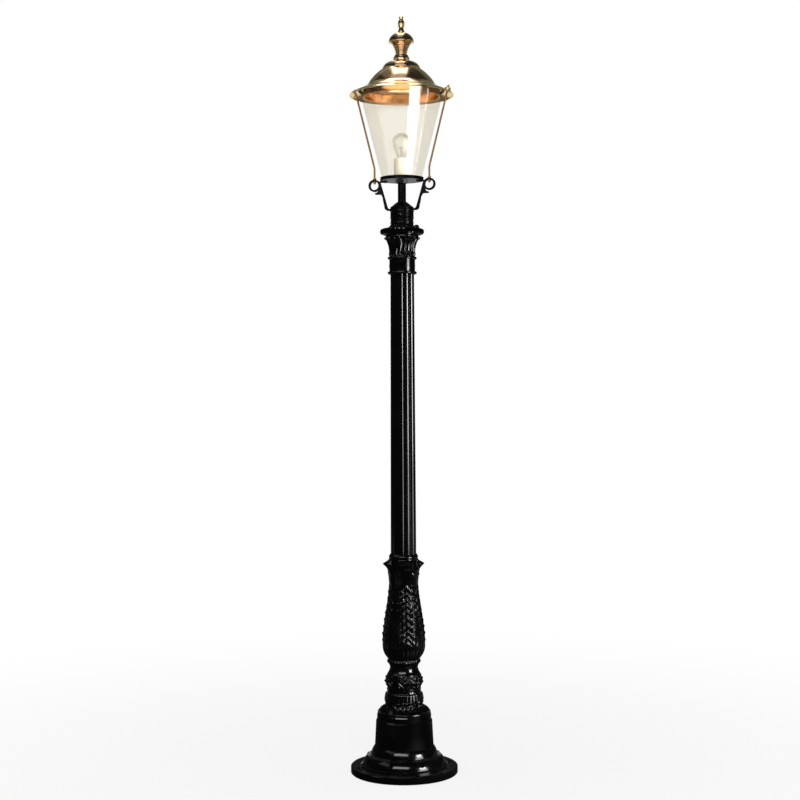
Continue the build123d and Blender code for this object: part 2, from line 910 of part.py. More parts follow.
def tie_rod():
    over = rod_seat_h + wing_base_h + wing_hub_h + rod_tip
    end = rod_frame() * Pos(0, 0, over)
    start = (eye_x, 0, z_eye + eye_inner_r - rod_tail)
    path = FilletPolyline(start, (eye_x, 0, z_bend), end.position, radius=rod_bend_radius)
    return sweep(Pos(*start) * Circle(rod_r), path)


def rod_nuts():
    flat_room = sqrt(eye_inner_r ** 2 - (rod_nut_flats / sqrt(3)) ** 2)
    low = z_eye + flat_room - rod_nut_h
    high = z_eye + eye_outer_r
    nuts = []
    for place in around(2, 0, eye_x, 0):
        nuts.append(place * hex_nut(rod_nut_flats, rod_r + slip, low, low + rod_nut_h))
        nuts.append(place * hex_nut(rod_nut_flats, rod_r + slip, high, high + rod_nut_h))
    return Compound(children=nuts)


def wing_nut():
    low = wing_base_h
    wing = side_face(
        (0, low),
        (wing_hub_r, low),
        (wing_span, wing_rise - wing_tip_w, wing_scoop),
        (wing_span - wing_scoop, wing_rise, wing_scoop),
        (wing_hub_r, low + wing_root, -wing_scoop),
        (0, low + wing_root),
    )
    nut = turned(
        (0, 0),
        (wing_base_r, 0),
        (wing_base_r, wing_base_h),
        (wing_hub_r, wing_base_h),
        (wing_hub_r - wing_t / 2, wing_base_h + wing_hub_h),
        (0, wing_base_h + wing_hub_h),
    )
    nut += [place * extrude(wing, wing_t / 2, both=True) for place in both_sides]
    nut -= bar(rod_r + slip, wing_rise + wing_base_h)
    return rod_frame() * Pos(0, 0, rod_seat_h) * Rot(0, 0, 90) * nut


# Outer line of the hood from brim to crown, lowered by a drop
def hood_line(drop):
    return (
        (brim_r, z_hood - brim_drop - drop),
        (brim_knee_r, z_hood + brim_knee_rise - drop, brim_bulge),
        (hood_waist_r, z_hood + hood_waist_rise - drop, hood_waist_bulge),
        (dome_top_r, z_hood + dome_rise - drop, dome_bulge),
        (crown_r, z_crown - drop),
        (vent_r, z_crown - drop),
    )


# Everything under that line
def under_hood(drop):
    low = z_hood - collar_drop - brim_drop
    return turned((0, low), (brim_r, low), *hood_line(drop), (0, z_crown - drop))


# Upright slots that let the leaning rods pass while the hood lifts
def rod_slots():
    middle = rod_brim_r + (rod_slot_out - rod_slot_in) / 2
    shape = SlotCenterToCenter(rod_slot_out + rod_slot_in, 2 * (rod_r + rod_slot_room))
    slot = extrude(Pos(middle, 0, z_hood - brim_drop) * shape, brim_drop + crown_rise)
    return [place * slot for place in both_sides]


def hood_shell():
    bead = Pos(0, 0, z_hood - brim_drop) * Torus(brim_r - brim_bead_r, brim_bead_r)
    return spun(hood_sheet, *hood_line(0)) + bead - rod_slots()


def rod_seats():
    seat = rod_frame() * Pos(0, 0, -rod_seat_r) * bar(rod_seat_r, rod_seat_r + rod_seat_h)
    seat -= under_hood(0)
    seat -= rod_slots()
    return group(both_sides, seat)


def hood_collar():
    low = z_hood - collar_drop
    ring = tube(collar_r, collar_r - collar_wall, low, z_hood + hood_waist_rise) & under_hood(hood_sheet)
    return ring + Pos(0, 0, low + collar_bead_r) * Torus(collar_r - collar_bead_r, collar_bead_r)


def hood_gasket():
    return tube(hood_gasket_out, hood_gasket_in, z_hood, z_hood + hood_waist_rise) & under_hood(hood_sheet)


def hood_step():
    return spun(
        hood_sheet,
        (step_low_r, z_step + hood_sheet),
        (step_edge_r, z_step + step_edge_h),
        (step_top_r, z_ring, step_bulge),
        (ring_bore_r, z_ring),
    )


def hood_ring():
    return turned(
        (ring_bore_r, z_ring),
        (ring_r - ring_bulge, z_ring),
        (ring_r - ring_bulge, z_ring + ring_belt_h, ring_bulge),
        (ring_top_r, z_neck),
        (ring_bore_r, z_neck),
    )


def hood_neck():
    wall = neck_low_r - ring_bore_r
    return turned(
        (neck_low_r, z_neck),
        (neck_high_r, z_rim, neck_bulge),
        (neck_high_r - wall, z_rim),
        (neck_low_r - wall, z_neck, -neck_bulge),
    )


def hood_cap():
    return spun(
        hood_sheet,
        (cap_rim_r, z_rim + hood_sheet),
        (cap_top_r, z_finial, mushroom_bulge),
        (hood_rod_r + slip, z_finial),
    )


def hood_bridge():
    high = z_crown - hood_sheet
    bridge = extrude(Pos(0, 0, high - bridge_t) * Rectangle(bridge_l, bridge_w), bridge_t)
    return bridge - Pos(0, 0, high - bridge_t) * bar(hood_rod_r + slip, bridge_t)


def hood_nut():
    high = z_crown - hood_sheet - bridge_t
    return hex_nut(hood_nut_flats, hood_rod_r + slip, high - hood_nut_h, high)


def hood_rod():
    low = z_crown - hood_sheet - bridge_t - hood_nut_h - hood_rod_tail
    return tube(hood_rod_r, 0, low, z_finial + finial_socket_h)


def finial():
    z_neck_low = z_finial + finial_foot_h
    z_knob = z_neck_low + finial_knob_h
    z_top = z_finial + finial_h
    knob_bulge = finial_knob_r - (finial_neck_r + finial_tip_neck_r) / 2
    return turned(
        (hood_rod_r + slip, z_finial),
        (finial_foot_r, z_finial),
        (finial_neck_r, z_neck_low, finial_foot_bulge),
        (finial_tip_neck_r, z_knob, knob_bulge),
        (finial_tip_r, z_top - finial_crown_h, finial_tip_bulge),
        (0, z_top, dome_bulge_of(finial_tip_r, finial_crown_h)),
        (0, z_finial + finial_socket_h + seat_room),
        (hood_rod_r + slip, z_finial + finial_socket_h + seat_room),
    )


def lamp_holder():
    high = z_holder + holder_h
    return turned(
        (lead_r + slip, z_holder + stem_tip),
        (stem_r + slip, z_holder + stem_tip),
        (stem_r + slip, z_holder),
        (holder_r, z_holder),
        (holder_r, high - holder_crown),
        (holder_r - holder_crown, high, dome_bulge_of(holder_crown, holder_crown)),
        (holder_bore_r, high),
        (holder_bore_r, z_cup),
        (lead_r + slip, z_cup),
    )


def holder_shell():
    low = z_cup + shell_lift
    return tube(holder_bore_r, holder_bore_r - shell_wall, low, low + shell_h)


def holder_contact():
    return tube(contact_r, 0, z_cup, z_pip)


def bulb_contact():
    return turned((0, z_pip), (bulb_pip_r, z_pip), (bulb_cap_r / 2, z_bulb), (0, z_bulb))


def bulb_cap():
    high = z_bulb + bulb_cap_h
    side = tube(bulb_cap_r, bulb_cap_r - bulb_t, z_bulb + bulb_t, high)
    return side + tube(bulb_cap_r, 0, z_bulb, z_bulb + bulb_t)


# Pear-shaped envelope, its wall drawn inward by a given thickness
def bulb_line(wall):
    z_rim_low = z_bulb + bulb_cap_h
    z_middle = z_rim_low + bulb_centre_rise
    radius = bulb_r - wall
    neck = bulb_neck_r - wall
    ball = dome_bulge_of(radius, radius)
    return (neck, z_rim_low + bulb_neck_h), (radius, z_middle, bulb_side_bulge), (0, z_middle + radius, ball)


def bulb_glass():
    z_rim_low = z_bulb + bulb_cap_h
    cap_inside = bulb_cap_r - bulb_t
    outer = turned((0, z_rim_low), (cap_inside, z_rim_low), *bulb_line(0))
    inner = turned((0, z_rim_low), (cap_inside - bulb_t, z_rim_low), *bulb_line(bulb_t))
    return outer - inner


def bulb_stem():
    low = z_bulb + bulb_t
    return tube(bulb_stem_r, 0, low, low + bulb_cap_h + bulb_stem_h)


def filament():
    middle = z_bulb + bulb_t + bulb_cap_h + bulb_stem_h + filament_wire_r + slip
    support = Rot(0, 90, 0) * Cylinder(filament_wire_r, 2 * filament_r)
    return Pos(0, 0, middle) * (Torus(filament_r, filament_wire_r) + support)


pieces = {
    "flange_plate": flange_plate(),
    "base_bell": base_bell(),
    "base_screws": base_screws(),
    "terminal_strap": terminal_strap(),
    "strap_screws": strap_screws(),
    "terminal_block": terminal_block(),
    "inner_lead": inner_lead(),
    "tie_plate": tie_plate(),
    "tie_nuts": tie_nuts(),
    "tie_washer": tie_washer(),
    "tie_tube": tie_tube(),
    "pedestal": pedestal(),
    "baluster": baluster(),
    "shaft": shaft(),
    "capital": capital(),
    "capital_screws": capital_screws(),
    "lantern_foot": lantern_foot(),
    "foot_bolts": foot_bolts(),
    "foot_screw": foot_screw(),
    "cone_cap": cone_cap(),
    "stem_tube": stem_tube(),
    "stem_nuts": stem_nuts(),
    "bracket_right": both_sides[0] * bracket_arm(),
    "bracket_left": both_sides[1] * bracket_arm(),
    "bottom_plate": bottom_plate(),
    "gallery_ring": gallery_ring(),
    "tab_screws": tab_screws(),
    "tab_nuts": tab_nuts(),
    "glass_gasket": glass_gasket(),
    "glass_cone": glass_cone(),
    "rod_right": both_sides[0] * tie_rod(),
    "rod_left": both_sides[1] * tie_rod(),
    "rod_nuts": rod_nuts(),
    "wing_nut_right": both_sides[0] * wing_nut(),
    "wing_nut_left": both_sides[1] * wing_nut(),
    "lamp_holder": lamp_holder(),
    "holder_shell": holder_shell(),
    "holder_contact": holder_contact(),
    "bulb_contact": bulb_contact(),
    "bulb_cap": bulb_cap(),
    "bulb_glass": bulb_glass(),
    "bulb_stem": bulb_stem(),
    "filament": filament(),
    "hood_shell": hood_shell(),
    "rod_seats": rod_seats(),
    "hood_collar": hood_collar(),
    "hood_gasket": hood_gasket(),
    "hood_step": hood_step(),
    "hood_ring": hood_ring(),
    "hood_neck": hood_neck(),
    "hood_cap": hood_cap(),
    "hood_bridge": hood_bridge(),
    "hood_nut": hood_nut(),
    "hood_rod": hood_rod(),
    "finial": finial(),
}

os.makedirs("parts", exist_ok=True)
for name, solid in pieces.items():
    export_step(solid, f"parts/{name}.step")
print(len(pieces), "nodes")
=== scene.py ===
import bmesh
import bpy
import json
from math import atan, cos, inf, pi, radians, sin
import numpy as np
from mathutils import Matrix, Vector

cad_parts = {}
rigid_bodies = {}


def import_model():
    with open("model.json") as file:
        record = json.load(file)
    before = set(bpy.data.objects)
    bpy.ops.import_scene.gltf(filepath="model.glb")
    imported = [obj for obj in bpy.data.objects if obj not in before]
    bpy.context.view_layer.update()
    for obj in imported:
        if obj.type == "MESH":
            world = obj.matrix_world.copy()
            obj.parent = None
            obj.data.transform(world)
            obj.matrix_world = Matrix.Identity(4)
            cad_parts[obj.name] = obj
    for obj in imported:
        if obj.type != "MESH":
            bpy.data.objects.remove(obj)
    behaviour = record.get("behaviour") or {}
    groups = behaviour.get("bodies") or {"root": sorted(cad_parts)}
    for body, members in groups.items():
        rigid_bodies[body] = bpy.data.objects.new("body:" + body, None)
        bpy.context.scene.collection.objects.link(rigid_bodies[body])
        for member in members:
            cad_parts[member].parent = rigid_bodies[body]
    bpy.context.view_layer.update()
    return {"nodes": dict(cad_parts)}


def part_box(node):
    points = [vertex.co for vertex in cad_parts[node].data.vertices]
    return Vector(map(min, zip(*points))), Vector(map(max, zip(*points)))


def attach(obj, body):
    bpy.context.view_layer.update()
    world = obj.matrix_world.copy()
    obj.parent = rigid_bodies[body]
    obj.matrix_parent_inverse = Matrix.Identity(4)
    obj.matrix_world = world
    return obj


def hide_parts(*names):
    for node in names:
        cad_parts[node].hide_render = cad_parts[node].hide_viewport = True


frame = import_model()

nodes = frame["nodes"]
mm = 0.001
print("frame loaded,", len(nodes), "nodes")


class Value:                                     # a socket that can stand in a sum
    def __init__(self, board, socket):
        self.board = board
        self.socket = socket

    def __add__(self, other):
        return self.board.maths("ADD", self, other)

    def __radd__(self, other):
        return self.board.maths("ADD", other, self)

    def __sub__(self, other):
        return self.board.maths("SUBTRACT", self, other)

    def __rsub__(self, other):
        return self.board.maths("SUBTRACT", other, self)

    def __mul__(self, other):
        return self.board.maths("MULTIPLY", self, other)

    def __rmul__(self, other):
        return self.board.maths("MULTIPLY", other, self)

    def __truediv__(self, other):
        return self.board.maths("DIVIDE", self, other)

    def __rtruediv__(self, other):
        return self.board.maths("DIVIDE", other, self)

    def __pow__(self, other):
        return self.board.maths("POWER", self, other)


class Board:                                     # the nodes of one finish, of the floor or of the world
    def __init__(self, owner):
        owner.use_nodes = True
        self.tree = owner.node_tree
        self.tree.nodes.clear()

    def node(self, kind, settings=None, sockets=None, out=0):
        made = self.tree.nodes.new(kind)
        for name, value in (settings or {}).items():
            setattr(made, name, value)
        for name, value in (sockets or {}).items():
            for each in value if isinstance(value, list) else [value]:       # a list is joined in one socket
                if isinstance(each, Value):
                    self.tree.links.new(each.socket, made.inputs[name])
                else:
                    made.inputs[name].default_value = each
        if isinstance(out, tuple):
            return [Value(self, made.outputs[name]) for name in out]
        return Value(self, made.outputs[out]) if len(made.outputs) else None

    def maths(self, operation, first, second):
        return self.node("ShaderNodeMath", {"operation": operation}, {0: first, 1: second})

    def blend(self, share, first, second):       # colours
        return self.node("ShaderNodeMix", {"data_type": "RGBA"}, {0: share, 6: first, 7: second}, 2)

    def between(self, value, low, high):         # 0 below low, 1 above high
        sockets = {"Value": value, "From Min": low, "From Max": high}
        return self.node("ShaderNodeMapRange", {"interpolation_type": "SMOOTHSTEP"}, sockets)

    def place(self):
        return self.node("ShaderNodeTexCoord", out="Object")

    def noise(self, where, scale, detail=2.0, roughness=0.5):
        sockets = {"Vector": where, "Scale": scale, "Detail": detail, "Roughness": roughness}
        return self.node("ShaderNodeTexNoise", None, sockets)

    def axes(self, where):
        return self.node("ShaderNodeSeparateXYZ", None, {0: where}, ("X", "Y", "Z"))

    def vector(self, x=0.0, y=0.0, z=0.0):
        return self.node("ShaderNodeCombineXYZ", None, {0: x, 1: y, 2: z})

    def distance(self, x, y, centre=(0.0, 0.0)):
        across, along = x - centre[0], y - centre[1]
        return (across * across + along * along) ** 0.5

    def rays(self):                              # seen by the camera, seen through glass, and mirrored
        return self.node("ShaderNodeLightPath", out=("Is Camera Ray", "Is Transmission Ray", "Is Glossy Ray"))

    def bump(self, height, strength, depth):
        sockets = {"Strength": strength, "Distance": depth, "Height": height}
        return self.node("ShaderNodeBump", None, sockets)

    def shader(self, **sockets):
        named = {name.replace("_", " "): value for name, value in sockets.items()}
        return self.node("ShaderNodeBsdfPrincipled", None, named)

    def mixed(self, share, first, second):       # shaders
        return self.node("ShaderNodeMixShader", None, {0: share, 1: first, 2: second})

    def close(self, surface, kind="ShaderNodeOutputMaterial"):
        self.node(kind, None, {"Surface": surface})


class Grower(Board):                             # a Geometry Nodes tree with named inputs
    def __init__(self, name, **sizes):
        self.tree = bpy.data.node_groups.new(name, "GeometryNodeTree")
        names = dict(Geometry="Geometry", Finish="Material", **sizes)
        for key, kind in names.items():
            self.tree.interface.new_socket(key, in_out="INPUT", socket_type="NodeSocket" + kind)
        self.tree.interface.new_socket("Geometry", in_out="OUTPUT", socket_type="NodeSocketGeometry")
        self.given = dict(zip(names, self.node("NodeGroupInput", out=tuple(names))))

    def circle(self, points, radius):
        sockets = {"Resolution": points, "Radius": radius}
        return self.node("GeometryNodeCurvePrimitiveCircle", None, sockets)

    def rod(self, path, section, capped=False):
        sockets = {"Curve": path, "Profile Curve": section, "Fill Caps": capped}
        return self.node("GeometryNodeCurveToMesh", None, sockets)

    def finish(self, shape, height, turn=0.0):   # up the post's axis, and round it
        sockets = {"Geometry": shape, "Translation": self.vector(z=height), "Rotation": self.vector(z=turn)}
        placed = self.node("GeometryNodeTransform", None, sockets)
        whole = self.node("GeometryNodeRealizeInstances", None, {"Geometry": placed})
        sockets = {"Geometry": whole, "Material": self.given["Finish"]}
        coated = self.node("GeometryNodeSetMaterial", None, sockets)
        self.node("NodeGroupOutput", None, {"Geometry": coated})


def newFinish(name):
    material = bpy.data.materials.new(name)
    return material, Board(material)


def shown(name, data):                           # a new object in the scene
    made = bpy.data.objects.new(name, data)
    bpy.context.scene.collection.objects.link(made)
    return made


# camera

view = dict(azimuth=14.0, distance=4.76, height=1.23, roll=0.25, sensor=36.0, reach=60.0,
            side=800, focal=1497.0, axisX=402.8, horizon=385.5)      # these four in pixels


def placeCamera():
    camera = shown("camera", bpy.data.cameras.new("camera"))
    half = view["side"] / 2
    camera.data.sensor_width = view["sensor"]
    camera.data.lens = view["focal"] * view["sensor"] / view["side"]
    camera.data.clip_end = view["reach"]
    turn = radians(view["azimuth"])
    eye = Vector((sin(turn) * view["distance"], -cos(turn) * view["distance"], view["height"]))
    pitch = atan((half - view["horizon"]) / view["focal"])
    yaw = atan((view["axisX"] - half) / view["focal"])
    aim = Matrix.Rotation(turn + yaw, 4, "Z") @ Matrix.Rotation(pi / 2 - pitch, 4, "X")
    camera.matrix_world = Matrix.Translation(eye) @ aim @ Matrix.Rotation(-radians(view["roll"]), 4, "Z")
    bpy.context.scene.camera = camera


placeCamera()
print("camera placed")


# finishes

# a noise is given by its scale, detail and roughness, a bump by its strength and depth,
# and a pair says where something starts to count and where it counts in full
paint = dict(
    deep=(0.0005, 0.0005, 0.0006, 1), worn=(0.0018, 0.0018, 0.0018, 1), clouds=(14, 5), wear=(0.5, 0.85),
    paleTop=(0.028, 0.027, 0.024, 1), level=(0.75, 1.0), specks=(45, 6, 0.7), patch=(0.35, 0.75), paleTopShare=0.6,
    gloss=0.09, spread=0.08, dull=0.2, index=1.52, grit=(40, 0.5), bump=(0.02, 0.0004),
)


def glossBlack():
    material, board = newFinish("glossBlack")
    where = board.place()
    cloud = board.noise(where, *paint["clouds"])
    colour = board.blend(board.between(cloud, *paint["wear"]), paint["deep"], paint["worn"])
    facing = board.node("ShaderNodeNewGeometry", out="Normal")
    level = board.between(board.axes(facing)[2], *paint["level"])
    topPatches = level * board.between(board.noise(where, *paint["specks"]), *paint["patch"])
    paleTopColour = board.blend(topPatches * paint["paleTopShare"], colour, paint["paleTop"])      # paler and rougher in patches where the surface faces up
    rough = paint["gloss"] + cloud * paint["spread"] + topPatches * paint["dull"]
    normal = board.bump(board.noise(where, *paint["grit"]), *paint["bump"])
    board.close(board.shader(Base_Color=paleTopColour, Roughness=rough, IOR=paint["index"], Normal=normal))
    return material


spun = dict(lathe=700, rings=(1.0, 3), ringed=0.05, bump=(0.06, 0.0003), clouds=(11, 4), smears=(38, 6, 0.65),
            stain=(0.55, 0.8), stained=0.35, haze=(0.4, 0.8), hazy=0.10, edge=(0.97, 0.96, 0.84, 1))


def spunMetal(name, bright, warm, tarnish, gloss):
    material, board = newFinish(name)
    where = board.place()
    x, y, z = board.axes(where)
    lathe = board.vector(board.distance(x, y) * spun["lathe"], z * spun["lathe"])
    rings = board.noise(lathe, *spun["rings"])   # the marks of the spinning
    smear = board.noise(where, *spun["smears"])
    colour = board.blend(board.noise(where, *spun["clouds"]), bright, warm)
    colour = board.blend(board.between(smear, *spun["stain"]) * spun["stained"], colour, tarnish)
    rough = gloss + board.between(smear, *spun["haze"]) * spun["hazy"] + rings * spun["ringed"]
    board.close(board.shader(Base_Color=colour, Metallic=1.0, Specular_Tint=spun["edge"], Roughness=rough,
                             Normal=board.bump(rings, *spun["bump"])))
    return material


pane = dict(index=1.48, detail=2, bump=(0.004, 0.001), smudges=(23, 5), smudge=(0.55, 0.8), smudged=0.02)


def clearGlass(name, tint, waves, thin):         # thin is the share that light passes unbent
    material, board = newFinish(name)
    where = board.place()
    ripple = board.noise(where, waves, pane["detail"])
    smudge = board.between(board.noise(where, *pane["smudges"]), *pane["smudge"])
    glass = board.shader(Base_Color=tint, Roughness=0.0, IOR=pane["index"], Transmission_Weight=1.0,
                         Normal=board.bump(ripple, *pane["bump"]))
    shade = board.node("ShaderNodeLightPath", out="Is Shadow Ray")
    clear = board.node("ShaderNodeBsdfTransparent", None, {"Color": tint})
    board.close(board.mixed(thin + shade * (1 - thin) + smudge * pane["smudged"], glass, clear))
    return material


plating = dict(spangle=0.6, cloud=0.4, clouds=(35, 4), haze=0.18, grit=(600, 3), bump=(0.08, 0.0003))


def plainMetal(name, bright, dull, gloss, grain):
    material, board = newFinish(name)
    where = board.place()
    spangle = board.node("ShaderNodeTexVoronoi", None, {"Vector": where, "Scale": grain}, "Color")
    cloud = board.noise(where, *plating["clouds"])
    share = board.axes(spangle)[0] * plating["spangle"] + cloud * plating["cloud"]
    normal = board.bump(board.noise(where, *plating["grit"]), *plating["bump"])
    board.close(board.shader(Base_Color=board.blend(share, bright, dull), Metallic=1.0,
                             Roughness=gloss + cloud * plating["haze"], Normal=normal))
    return material


glaze = dict(clouds=(30, 3), specks=(700, 2), speck=(0.68, 0.76), speckled=0.5, dark=(0.45, 0.40, 0.33, 1),
             gloss=0.12, spread=0.1, index=1.55, bump=(0.1, 0.0005))


def glazed(name, pale, shaded):
    material, board = newFinish(name)
    where = board.place()
    cloud = board.noise(where, *glaze["clouds"])
    speck = board.between(board.noise(where, *glaze["specks"]), *glaze["speck"])
    colour = board.blend(speck * glaze["speckled"], board.blend(cloud, pale, shaded), glaze["dark"])
    board.close(board.shader(Base_Color=colour, Roughness=glaze["gloss"] + cloud * glaze["spread"],
                             IOR=glaze["index"], Normal=board.bump(cloud, *glaze["bump"])))
    return material


sheath = dict(detail=4, spread=0.15, bump=(0.3, 0.0004))


def matte(name, dark, pale, rough, grain):
    material, board = newFinish(name)
    fine = board.noise(board.place(), grain, sheath["detail"])
    normal = board.bump(fine, *sheath["bump"])
    board.close(board.shader(Base_Color=board.blend(fine, dark, pale), Normal=normal,
                             Roughness=rough + fine * sheath["spread"]))
    return material


finishes = dict(
    black_paint=glossBlack(),
    copper=spunMetal("polishedCopper", (0.87, 0.60, 0.38, 1), (0.83, 0.54, 0.31, 1), (0.56, 0.37, 0.18, 1),
                     gloss=0.12),
    brass=spunMetal("warmBrass", (0.88, 0.69, 0.38, 1), (0.80, 0.58, 0.28, 1), (0.42, 0.29, 0.11, 1),
                    gloss=0.12),
    aged_brass=spunMetal("agedBrass", (0.36, 0.21, 0.08, 1), (0.27, 0.15, 0.06, 1), (0.12, 0.07, 0.03, 1),
                         gloss=0.26),
    lantern_glass=clearGlass("lanternGlass", (0.972, 0.960, 0.925, 1), waves=9, thin=0.90),
    bulb_glass=clearGlass("bulbGlass", (0.985, 0.98, 0.965, 1), waves=40, thin=0.80),
    zinc_sheet=plainMetal("zincSheet", (0.50, 0.54, 0.55, 1), (0.36, 0.40, 0.41, 1), gloss=0.28, grain=90),
    steel=plainMetal("platedSteel", (0.56, 0.56, 0.55, 1), (0.42, 0.42, 0.41, 1), gloss=0.22, grain=300),
    porcelain=glazed("creamPorcelain", (0.86, 0.83, 0.74, 1), (0.80, 0.76, 0.66, 1)),
    seal_rubber=matte("sealRubber", (0.012, 0.012, 0.012, 1), (0.03, 0.03, 0.03, 1), rough=0.55, grain=400),
    lead_sheath=matte("leadSheath", (0.02, 0.02, 0.022, 1), (0.05, 0.05, 0.05, 1), rough=0.45, grain=300),
    solder=plainMetal("solderPip", (0.60, 0.60, 0.58, 1), (0.45, 0.45, 0.44, 1), gloss=0.3, grain=500),
    tungsten=plainMetal("tungstenWire", (0.40, 0.38, 0.35, 1), (0.25, 0.23, 0.20, 1), gloss=0.35, grain=2000),
)

wears = dict(
    black_paint=("flange_plate base_bell pedestal baluster shaft capital lantern_foot cone_cap stem_tube"
                 " bracket_right bracket_left gallery_ring base_screws capital_screws foot_bolts foot_screw"),
    copper="hood_shell hood_collar hood_step hood_ring hood_neck hood_cap",
    brass="rod_seats finial wing_nut_right wing_nut_left holder_shell holder_contact bulb_cap",
    aged_brass="rod_right rod_left rod_nuts",
    lantern_glass="glass_cone",
    bulb_glass="bulb_glass bulb_stem",
    zinc_sheet="bottom_plate",
    steel=("terminal_strap strap_screws tie_plate tie_nuts tie_washer tie_tube stem_nuts tab_screws tab_nuts"
           " hood_bridge hood_nut hood_rod"),
    porcelain="lamp_holder terminal_block",
    seal_rubber="glass_gasket hood_gasket",
    lead_sheath="inner_lead",
    solder="bulb_contact",
    tungsten="filament",
)
for finish, names in wears.items():
    for name in names.split():
        mesh = nodes[name].data
        mesh.materials.clear()
        mesh.materials.append(finishes[finish])
print("finishes made")


# carved castings, turned from the outline of their solids, in millimetres and degrees

carving = dict(step=0.4, inset=0.01, fade=0.8, crease=50)


def ease(low, high, x):
    t = np.clip((x - low) / (high - low), 0, 1)
    return t * t * (3 - 2 * t)


def within(span, x):                             # rises over the first two values, falls over the last two
    return ease(span[0], span[1], x) * (1 - ease(span[2], span[3], x))


def arch(x):                                     # half a circle, from -1 to 1
    return np.sqrt(np.clip(1 - x * x, 0, 1))


def shingle(t):                                  # rises slowly and drops fast, from 0 to 1
    return within((0, 0.72, 0.76, 1.0), t)


def repeat(phi, count, turn=0.0):                # -0.5 to 0.5 across each of the copies
    return (phi - radians(turn)) * count / (2 * pi) % 1 - 0.5


def sway(phi, waves):                            # each wave is its size, turns and shift
    return sum(size * np.sin(turns * phi + shift) for size, turns, shift in waves)


def mounds(across, along, lumps):                # each lump is its rise, its place, its width and its height
    return sum(rise * np.exp(-((across - x) / wide) ** 2 - ((along - y) / tall) ** 2)
               for rise, x, y, wide, tall in lumps)


def levels(node):                                # its lowest and highest level, to half a millimetre
    return [round(2 * float(corner[2]) / mm) / 2 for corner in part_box(node)]


def outlineOf(node, low, high):                  # heights, and the widest radius at each
    mesh = nodes[node].data
    points = np.zeros(len(mesh.vertices) * 3)
    mesh.vertices.foreach_get("co", points)
    points = points.reshape(-1, 3) / mm
    ends = np.zeros(len(mesh.edges) * 2, int)
    mesh.edges.foreach_get("vertices", ends)
    ends = ends.reshape(-1, 2)
    radius = np.hypot(points[:, 0], points[:, 1])
    z0, z1 = points[ends[:, 0], 2], points[ends[:, 1], 2]
    r0, r1 = radius[ends[:, 0]], radius[ends[:, 1]]
    inset = carving["inset"]
    heights = np.linspace(low + inset, high - inset, int((high - low) / carving["step"]))
    widest = []
    for height in heights:
        hit = (np.minimum(z0, z1) <= height) & (np.maximum(z0, z1) >= height) & (z0 != z1)
        share = (height - z0[hit]) / (z1[hit] - z0[hit])
        widest.append((r0[hit] + share * (r1[hit] - r0[hit])).max())
    return heights, np.array(widest)


def carved(name, spec, relief):
    low, high = levels(spec["node"])
    if "under" in spec:                          # what stands on it hides its spigot
        high = levels(spec["under"])[0]
    heights, widest = outlineOf(spec["node"], low, high)
    run = np.concatenate([[0], np.cumsum(np.hypot(np.diff(heights), np.diff(widest)))])
    rows = np.linspace(0, run[-1], spec["rows"])
    z = np.interp(rows, run, heights)[:, None]
    r = np.interp(rows, run, widest)[:, None]
    phi = np.arange(spec["columns"])[None, :] * 2 * pi / spec["columns"]
    fade = within((low, low + carving["fade"], high - carving["fade"], high), z)
    outer = r + relief(phi, z - low, r) * fade
    bore = np.full((1, spec["columns"]), spec["bore"])
    radius = np.concatenate([outer, bore, bore])
    level = np.concatenate([np.repeat(z, spec["columns"], 1), bore * 0 + high, bore * 0 + low])
    angle = np.repeat(phi, len(radius), 0)
    points = np.stack([radius * np.cos(angle), radius * np.sin(angle), level], -1).reshape(-1, 3) * mm
    gridPiece(name, points, len(radius), spec, spec["node"])


def turned(name, level, spec):                   # a closed section, swept round the axis
    angle = np.arange(spec["columns"]) * 2 * pi / spec["columns"]
    points = [(r * cos(a), r * sin(a), z + level) for r, z in spec["profile"] for a in angle]
    gridPiece(name, np.array(points) * mm, len(spec["profile"]), spec)


def gridPiece(name, points, rows, spec, *replaced):
    columns = spec["columns"]
    row = np.arange(rows)[:, None]
    column = np.arange(columns)[None, :]
    nextRow, nextColumn = (row + 1) % rows, (column + 1) % columns
    corners = [row * columns + column, row * columns + nextColumn, nextRow * columns + nextColumn,
               nextRow * columns + column]
    faces = np.stack(np.broadcast_arrays(*corners), -1).reshape(-1, 4)
    mesh = bpy.data.meshes.new(name)
    mesh.from_pydata(points.tolist(), [], faces.tolist())
    mesh.shade_smooth()
    mesh.set_sharp_from_angle(angle=radians(carving["crease"]))
    addPiece(name, mesh, spec.get("body", "post"), spec.get("slot", "black_paint"), *replaced)


def addPiece(name, mesh, body, slot, *replaced):
    piece = shown(name, mesh)
    if not mesh.materials:
        mesh.materials.append(finishes[slot])
    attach(piece, body)
    if replaced:
        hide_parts(*replaced)


leafPost = dict(                                 # heights are above the baluster's foot
    node="baluster", bore=36, rows=264, columns=368, leaves=4, seam=-64.5,
    spans=dict(leaf=(36, 64, 222, 240), buds=(40, 60, 214, 232), outer=(120, 150, 196, 214),
               stem=(66, 100, 214, 236), rib=(20, 60, 262, 286), petals=(2, 14, 50, 86)),
    pitch=22, slant=1.1, drift=(0.15, 3, 19), vein=0.9, lobe=1.6, lobeSink=0.6, near=(14, 26),
    hairs=3, clear=(0.1, 0.4),
    bud=[(2.9, 13, 0, 3.8, 4.8), (-2.32, 12, -2, 1.8, 1.8), (-1.45, 7.5, 0, 1.6, 9)], budSink=0.725,
    outerBud=[(1.305, 33, 0, 3.4, 4.6)],
    stem=[(1.6, 0, 0, 4.0, inf)],
    rib=[(0.7, 0, 0, 3.0, inf), (-0.5, 5, 0, 2.4, inf)],
    knobs=[(2.8, 22, 266, 4.2, 4.6), (1.6, 0, 303, 5, 5)],
    reeds=32, cups=12, petal=0.7, petalSink=0.5,
)
